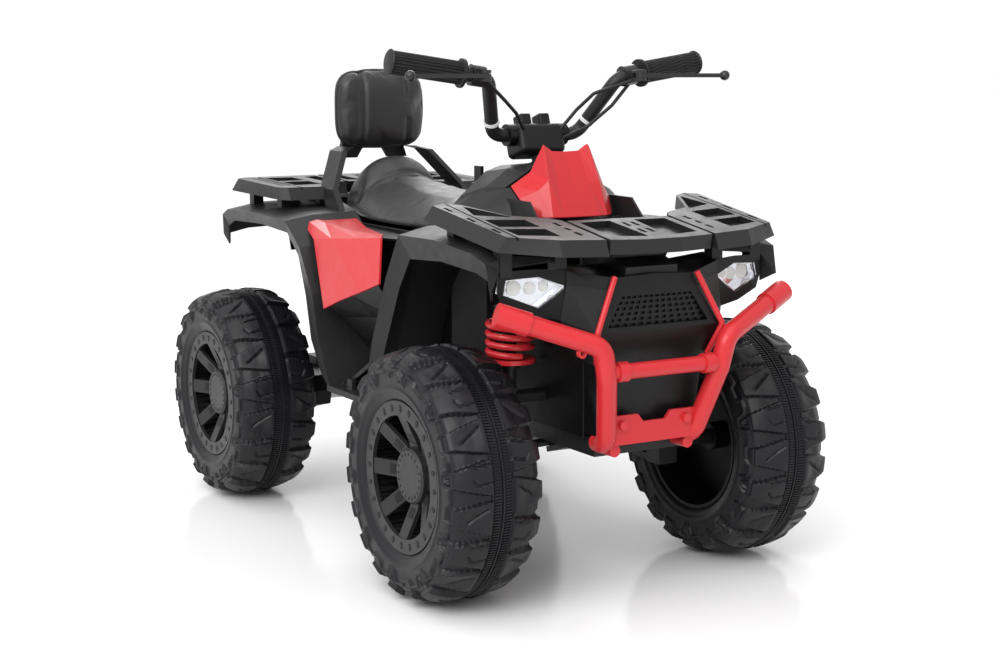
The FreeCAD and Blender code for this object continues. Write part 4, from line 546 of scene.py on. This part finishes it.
def grid_faces(rows, columns, closed):
    """Quads of a grid of points, row after row; a closed grid joins its last row to the first."""
    faces = []
    for i in range(rows if closed else rows - 1):
        here, after = i * columns, ((i + 1) % rows) * columns
        for j in range(columns - 1):
            faces.append((here + j, here + j + 1, after + j + 1, after + j))
    return faces


def band_shape():
    """Raised band round the middle of the tread: two rows of ticks between rails, a seam between them."""
    half = np.array(BAND_COLUMNS)
    other = half[::-1] * np.array([-1, 1, 1])
    table = np.concatenate([half, other]) * MM
    steps = TICK_COUNT * BAND_STEPS_PER_TICK
    turn = np.arange(steps)
    raised = (turn % BAND_STEPS_PER_TICK < BAND_STEPS_PER_TICK / 2)[:, None]
    radius = CARCASS_RADIUS + np.where(raised, table[:, 2], table[:, 1])
    angle = (turn * (FULL_TURN / steps))[:, None]
    across = np.broadcast_to(table[:, 0], radius.shape)
    points = np.stack([radius * np.sin(angle), across, radius * np.cos(angle)], axis=-1)
    return points.reshape(-1, 3), grid_faces(steps, len(table), True)


def add_on_wheel(name, wheel, shape, key):
    """Places a shape made about the Y axis, +Y outboard, on a wheel."""
    points, faces = shape
    outboard = -1 if "right" in wheel else 1
    placed = np.array(points) * np.array([1, outboard, 1]) + np.array(wheel_centre(wheel))
    ordered = faces if outboard < 0 else [tuple(reversed(f)) for f in faces]
    obj = object_from(f"{wheel}_{name}", placed, ordered, key)
    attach(obj, wheel + "_wheel")
    return obj


def add_tyres():
    carcass = tyre_shape()
    band = band_shape()
    for wheel in WHEELS:
        for name, shape in (("tyre_skin", carcass), ("tread_band", band)):
            obj = add_on_wheel(name, wheel, shape, "tyre")
            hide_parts(wheel + "_tyre")


# Wheel inlays
def outward_turn(index, count):
    """Directions out from the axle and round it, for one of count places."""
    angle = FULL_TURN * index / count
    return np.array([math.sin(angle), 0, math.cos(angle)]), np.array([math.cos(angle), 0, -math.sin(angle)])


def domes(count, reach, face, size):
    """Low oval buttons in a circle on a face at right angles to the axle."""
    points, faces = [], []
    rim_turns = np.linspace(0, FULL_TURN, BUTTON_SIDES, endpoint=False)
    ring = BUTTON_SIDES
    layers = len(BUTTON_LAYER_SHARES) - 1
    for index in range(count):
        outward, around = outward_turn(index, count)
        middle = outward * reach + np.array([0, face, 0])
        first = len(points)
        for share, height in BUTTON_LAYER_SHARES:
            for turn in rim_turns:
                flat = around * math.cos(turn) * size[0] + outward * math.sin(turn) * size[1]
                points.append(middle + flat * share + np.array([0, size[2] * height, 0]))
        for layer in range(layers):
            for j in range(ring):
                k = (j + 1) % ring
                low, high = first + layer * ring, first + (layer + 1) * ring
                faces.append((low + j, high + j, high + k, low + k))
        faces.append(tuple(range(first + layers * ring, first + (layers + 1) * ring)))
    return points, faces


def spoke_inlays(radius, face):
    """Dark pads near the hub, one on the slope of each spoke."""
    points, faces = [], []
    start, end = (radius * share for share in SPOKE_RISE_SHARES)
    slope = SPOKE_FACE_DROP / (end - start)
    reaches = [radius * share for share in SPOKE_INLAY_SHARES]
    for index in range(SPOKE_COUNT):
        outward, around = outward_turn(index, SPOKE_COUNT)
        first = len(points)
        for shrink, lift in ((0.0, 0.0), (INLAY_BEVEL, INLAY_PROUD)):
            for reach, sign in zip(reaches, (1, -1)):
                place = reach + sign * shrink
                height = face - SPOKE_FACE_DROP + (place - start) * slope + INLAY_PROUD + lift
                for side in (-1, 1):
                    flat = side * (SPOKE_INLAY_HALF_WIDTH - shrink)
                    points.append(outward * place + around * flat + np.array([0, height, 0]))
        lower = [first + corner for corner in CORNERS_IN_ORDER]
        upper = [corner + len(lower) for corner in lower]
        faces.append(tuple(upper))
        for j in range(len(lower)):
            k = (j + 1) % len(lower)
            faces.append((lower[j], lower[k], upper[k], upper[j]))
    return points, faces


def add_wheel_inlays():
    for wheel in WHEELS:
        centre = wheel_centre(wheel)
        rim_low, rim_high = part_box(wheel + "_rim")
        cap_low, cap_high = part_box(wheel + "_hub_cap")
        radius = (rim_high[0] - rim_low[0]) / 2
        cap_radius = (cap_high[0] - cap_low[0]) / 2
        face = (rim_high[1] - rim_low[1]) / 2
        cap_face = max(abs(cap_low[1] - centre[1]), abs(cap_high[1] - centre[1]))
        ring_reach = radius * RING_INLAY_SHARE
        cap_reach = cap_radius * CAP_INLAY_SHARE
        shapes = {
            "ring_inlays": domes(RING_INLAYS, ring_reach, face + INLAY_PROUD, RING_INLAY_SIZE),
            "cap_inlays": domes(CAP_INLAYS, cap_reach, cap_face + INLAY_PROUD, CAP_INLAY_SIZE),
            "spoke_inlays": spoke_inlays(radius, face),
        }
        for name, shape in shapes.items():
            add_on_wheel(name, wheel, shape, "black")


# Cushions
def coordinates(mesh):
    flat = np.zeros(len(mesh.vertices) * 3)
    mesh.vertices.foreach_get("co", flat)
    return flat.reshape(-1, 3)


def normals_of(mesh):
    flat = np.zeros(len(mesh.vertices) * 3)
    mesh.vertex_normals.foreach_get("vector", flat)
    return flat.reshape(-1, 3)


def set_coordinates(mesh, points):
    mesh.vertices.foreach_set("co", points.ravel())
    mesh.update()


def shown_mesh(obj):
    """A new mesh of obj as its modifiers or its curve show it."""
    graph = bpy.context.evaluated_depsgraph_get()
    return bpy.data.meshes.new_from_object(obj.evaluated_get(graph))


def bake(obj):
    """Applies the modifiers of obj to its mesh."""
    mesh = shown_mesh(obj)
    obj.modifiers.clear()
    obj.data = mesh


def smaller_copy(node, name, shrink):
    """A remeshed copy of a CAD node, drawn in by shrink on every side."""
    mesh = NODES[node].data.copy()
    low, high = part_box(node)
    centre = np.array((low + high) / 2)
    share = 1 - 2 * shrink / np.array(high - low)
    set_coordinates(mesh, (coordinates(mesh) - centre) * share + centre)
    obj = linked(name, mesh)
    remesh = obj.modifiers.new("remesh", "REMESH")
    remesh.mode = "VOXEL"
    remesh.voxel_size = CUSHION_VOXEL
    remesh.use_smooth_shade = True
    bake(obj)
    return obj


def inflate(obj, held, cap):
    """Swells the cushion with a short cloth simulation; no point moves further than cap."""
    rest = coordinates(obj.data)
    group = obj.vertex_groups.new(name="held")
    group.add([int(i) for i in np.flatnonzero(held)], 1.0, "REPLACE")
    cloth = obj.modifiers.new("cloth", "CLOTH")
    cloth.settings.quality = CLOTH_QUALITY
    cloth.settings.use_pressure = True
    cloth.settings.uniform_pressure_force = CUSHION_PRESSURE
    cloth.settings.effector_weights.gravity = 0
    cloth.settings.vertex_group_mass = "held"
    cloth.collision_settings.use_collision = False
    for step in range(1, CUSHION_STEPS + 1):
        bpy.context.scene.frame_set(step)
    swollen = coordinates(shown_mesh(obj))
    bpy.context.scene.frame_set(1)
    obj.modifiers.clear()
    obj.vertex_groups.clear()
    move = swollen - rest
    length = np.linalg.norm(move, axis=1, keepdims=True)
    share = np.minimum(1, cap / np.maximum(length, SMALLEST_MOVE))
    set_coordinates(obj.data, rest + move * share)


def divide(obj):
    """Divides every face of obj once and rounds the result."""
    divide_once = obj.modifiers.new("divide", "SUBSURF")
    divide_once.levels = 1
    divide_once.render_levels = 1
    bake(obj)


def first_hits(obj, rays):
    """Where rays, each a start and a direction, first meet obj; a ray that misses it is left out."""
    polygons = [tuple(polygon.vertices) for polygon in obj.data.polygons]
    tree = BVHTree.FromPolygons(coordinates(obj.data).tolist(), polygons)
    hits = [tree.ray_cast(Vector(start), Vector(direction))[0] for start, direction in rays]
    return np.array([tuple(hit) for hit in hits if hit is not None])


def sew(obj, line, depth, width):
    """Draws the cushion in along a line on its surface."""
    points = coordinates(obj.data)
    away = np.full(len(points), FAR_AWAY)
    for spot in line:
        away = np.minimum(away, np.linalg.norm(points - spot, axis=1))
    pull = depth * np.exp(-(away / width) ** 2)
    set_coordinates(obj.data, points - normals_of(obj.data) * pull[:, None])


def strand(name, line, radius, closed=False):
    """A round leatherette cord laid along a line, such as piping or a row of thread."""
    curve = bpy.data.curves.new(name, "CURVE")
    curve.dimensions = "3D"
    curve.bevel_depth = radius
    curve.bevel_resolution = STRAND_ROUNDNESS
    spline = curve.splines.new("POLY")
    spline.points.add(len(line) - 1)
    for point, spot in zip(spline.points, line):
        point.co = (*spot, 1)
    spline.use_cyclic_u = closed
    curve.use_fill_caps = True
    maker = linked(name + ".maker", curve)
    mesh = shown_mesh(maker)
    bpy.data.objects.remove(maker)
    smooth(mesh)
    obj = linked(name, mesh)
    paint(obj, "leather")
    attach(obj, "chassis")


def finish_cushion(obj, node):
    smooth(obj.data)
    paint(obj, "leather")
    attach(obj, "chassis")
    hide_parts(node)


def seat_arc(low, high, share):
    """Rays down onto the seat along a cross seam that bows forward in the middle."""
    along = low[0] + share * (high[0] - low[0])
    middle = (low[1] + high[1]) / 2
    half = (high[1] - low[1]) / 2
    across = np.linspace(-SEAT_SEAM_SPAN_SHARE, SEAT_SEAM_SPAN_SHARE, SEAT_SEAM_STEPS)
    above = high[2] + EDGE_RADIUS
    return [((along + SEAT_SEAM_BOW * (1 - t * t), middle + t * half, above), DOWN) for t in across]


def add_seat():
    low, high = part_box("seat")
    obj = smaller_copy("seat", "seat_cushion", CUSHION_SHRINK)
    inflate(obj, coordinates(obj.data)[:, 2] < low[2] + SEAT_HELD_HEIGHT, SEAT_CAP)
    divide(obj)
    for share in SEAT_FOLD_SHARES:
        sew(obj, first_hits(obj, seat_arc(low, high, share)), FOLD_DEPTH, FOLD_WIDTH)
    seam = seat_arc(low, high, SEAT_SEAM_SHARE)
    sew(obj, first_hits(obj, seam), SEAM_DEPTH, SEAM_WIDTH)
    finish_cushion(obj, "seat")
    strand("seat_cross_seam", first_hits(obj, seam), THREAD_RADIUS)


def pad_seam(low, high, share):
    """Rays from in front onto the backrest along an upright seam."""
    across = (low[1] + high[1]) / 2 + share * (high[1] - low[1]) / 2
    reach = (high[2] - low[2]) * (1 - PAD_SEAM_SPAN_SHARE) / 2
    heights = np.linspace(low[2] + reach, high[2] - reach, PAD_SEAM_STEPS)
    return [((high[0] + EDGE_RADIUS, across, height), BACK) for height in heights]


def pad_rim(low, high):
    """Rays from all round the backrest towards its middle."""
    middle = (low + high) / 2
    rays = []
    for turn in np.linspace(0, FULL_TURN, PIPING_STEPS, endpoint=False):
        outward = Vector((0, math.cos(turn), math.sin(turn)))
        rays.append((middle + outward * (high - low).length, -outward))
    return rays


def add_backrest():
    low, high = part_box("backrest_pad")
    obj = smaller_copy("backrest_pad", "backrest_cushion", CUSHION_SHRINK)
    inflate(obj, np.zeros(len(obj.data.vertices), bool), PAD_CAP)
    divide(obj)
    for share in PAD_SEAM_SHARES:
        sew(obj, first_hits(obj, pad_seam(low, high, share)), SEAM_DEPTH, SEAM_WIDTH)
    finish_cushion(obj, "backrest_pad")
    for index, share in enumerate(PAD_SEAM_SHARES):
        strand(f"backrest_seam.{index}", first_hits(obj, pad_seam(low, high, share)), THREAD_RADIUS)
    strand("backrest_piping", first_hits(obj, pad_rim(low, high)), PIPING_RADIUS, closed=True)


# Grips
def grip_axes():
    """For each grip: its side, its inner end, its outer end and the direction along it."""
    points = coordinates(NODES["handlebar_grips"].data)
    found = []
    for side in (-1, 1):
        own = points[points[:, 1] * side > 0]
        middle = own.mean(axis=0)
        axis = np.linalg.svd(own - middle, full_matrices=False)[2][0]
        axis = axis * (1 if axis[1] * side > 0 else -1)
        along = (own - middle) @ axis
        found.append((side, middle + axis * along.min(), middle + axis * along.max(), axis))
    return found


def grip_radius(share, turn, side):
    """Outer radius of a grip: flange, fluted or waved barrel, end flange, by share of length and turn."""
    wave = 0 if side < 0 else GRIP_WAVE_REACH * np.sin(GRIP_WAVES * share * FULL_TURN)
    flutes = np.cos(GRIP_FLUTES * turn + wave)
    barrel = GRIP_BARREL + GRIP_FLUTE * np.clip(flutes * GRIP_SQUARENESS, -1, 1)
    inner = box_mask(share, BEFORE_START, GRIP_INNER_SHARE, GRIP_EDGE_SHARE)
    outer = box_mask(share, GRIP_OUTER_SHARE, PAST_END, GRIP_EDGE_SHARE)
    radius = np.maximum(barrel, inner * GRIP_INNER_FLANGE)
    return np.maximum(radius, outer * GRIP_OUTER_FLANGE)


def add_grips():
    shares = np.linspace(0, 1, GRIP_STEPS_ALONG)
    turns = np.linspace(0, FULL_TURN, GRIP_STEPS_AROUND, endpoint=False)
    for side, start, end, axis in grip_axes():
        across = np.cross(axis, (0, 0, 1))
        across /= np.linalg.norm(across)
        up = np.cross(across, axis)
        grid_share, grid_turn = np.meshgrid(shares, turns, indexing="ij")
        radius = grip_radius(grid_share, grid_turn, side)
        past = np.clip((grid_share - GRIP_ROUND_SHARE) / (1 - GRIP_ROUND_SHARE), 0, 1)
        round_in = 1 - GRIP_ROUND_LOSS_SHARE * past
        radius = (radius * round_in)[..., None]
        spine = start + grid_share[..., None] * (end - start)
        outward = np.cos(grid_turn)[..., None] * across + np.sin(grid_turn)[..., None] * up
        points = spine + radius * outward
        faces = []
        count = len(turns)
        for i in range(len(shares) - 1):
            for j in range(count):
                k = (j + 1) % count
                faces.append((i * count + j, i * count + k, (i + 1) * count + k, (i + 1) * count + j))
        faces.append(tuple(range(count))[::-1])
        faces.append(tuple(range((len(shares) - 1) * count, len(shares) * count)))
        name = "grip_right" if side < 0 else "grip_left"
        obj = object_from(name, points.reshape(-1, 3), faces, "rubber")
        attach(obj, "steering")
        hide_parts("handlebar_grips")


# Stage
def add_camera():
    data = bpy.data.cameras.new("camera")
    data.lens = CAMERA_LENS_MM
    data.sensor_width = CAMERA_SENSOR_MM
    camera = linked("camera", data)
    camera.location = CAMERA_PLACE
    camera.rotation_euler = (math.radians(90 - CAMERA_DOWN), 0, math.radians(CAMERA_AZIMUTH))
    bpy.context.scene.camera = camera


def add_floor():
    half = FLOOR_HALF
    corners = [(-half, -half, 0), (half, -half, 0), (half, half, 0), (-half, half, 0)]
    floor = object_from("floor", corners, [(0, 1, 2, 3)], "floor")


def add_lamp(name, place, size, watts):
    data = bpy.data.lights.new(name, "AREA")
    data.shape = "RECTANGLE"
    data.size, data.size_y = size
    data.energy = watts
    lamp = linked(name, data)
    lamp.location = place
    toward = Vector(LAMP_TARGET) - Vector(place)
    lamp.rotation_euler = toward.to_track_quat("-Z", "Y").to_euler()


def add_sun(name, origin, strength, spread):
    data = bpy.data.lights.new(name, "SUN")
    data.energy = strength
    data.angle = math.radians(spread)
    sun = linked(name, data)
    sun.rotation_euler = (-Vector(origin)).to_track_quat("-Z", "Y").to_euler()


def add_world():
    """Even white surroundings, at full strength seen directly, mirrored or through glass."""
    world = bpy.data.worlds.new("studio")
    world.use_nodes = True
    tree = world.node_tree
    backdrop = tree.nodes["Background"]
    path = tree.nodes.new("ShaderNodeLightPath")
    level = tree.nodes.new("ShaderNodeMix")
    level.inputs["A"].default_value = WORLD_LEVEL
    level.inputs["B"].default_value = 1.0
    seen = path.outputs["Is Camera Ray"]
    for ray in ("Is Glossy Ray", "Is Transmission Ray"):
        either = tree.nodes.new("ShaderNodeMath")
        either.operation = "MAXIMUM"
        tree.links.new(seen, either.inputs[0])
        tree.links.new(path.outputs[ray], either.inputs[1])
        seen = either.outputs["Value"]
    tree.links.new(seen, level.inputs["Factor"])
    tree.links.new(level.outputs["Result"], backdrop.inputs["Strength"])
    backdrop.inputs["Color"].default_value = (1, 1, 1, 1)
    bpy.context.scene.world = world


def add_light():
    add_world()
    add_sun("overhead_light", SUN_FROM, SUN_STRENGTH, SUN_SPREAD)
    for name, place, size, watts in LAMPS:
        add_lamp(name, place, size, watts)
    bpy.context.scene.view_settings.view_transform = "Standard"


dress_nodes()
add_tyres()
add_wheel_inlays()
add_seat()
add_backrest()
add_grips()
add_camera()
add_floor()
add_light()
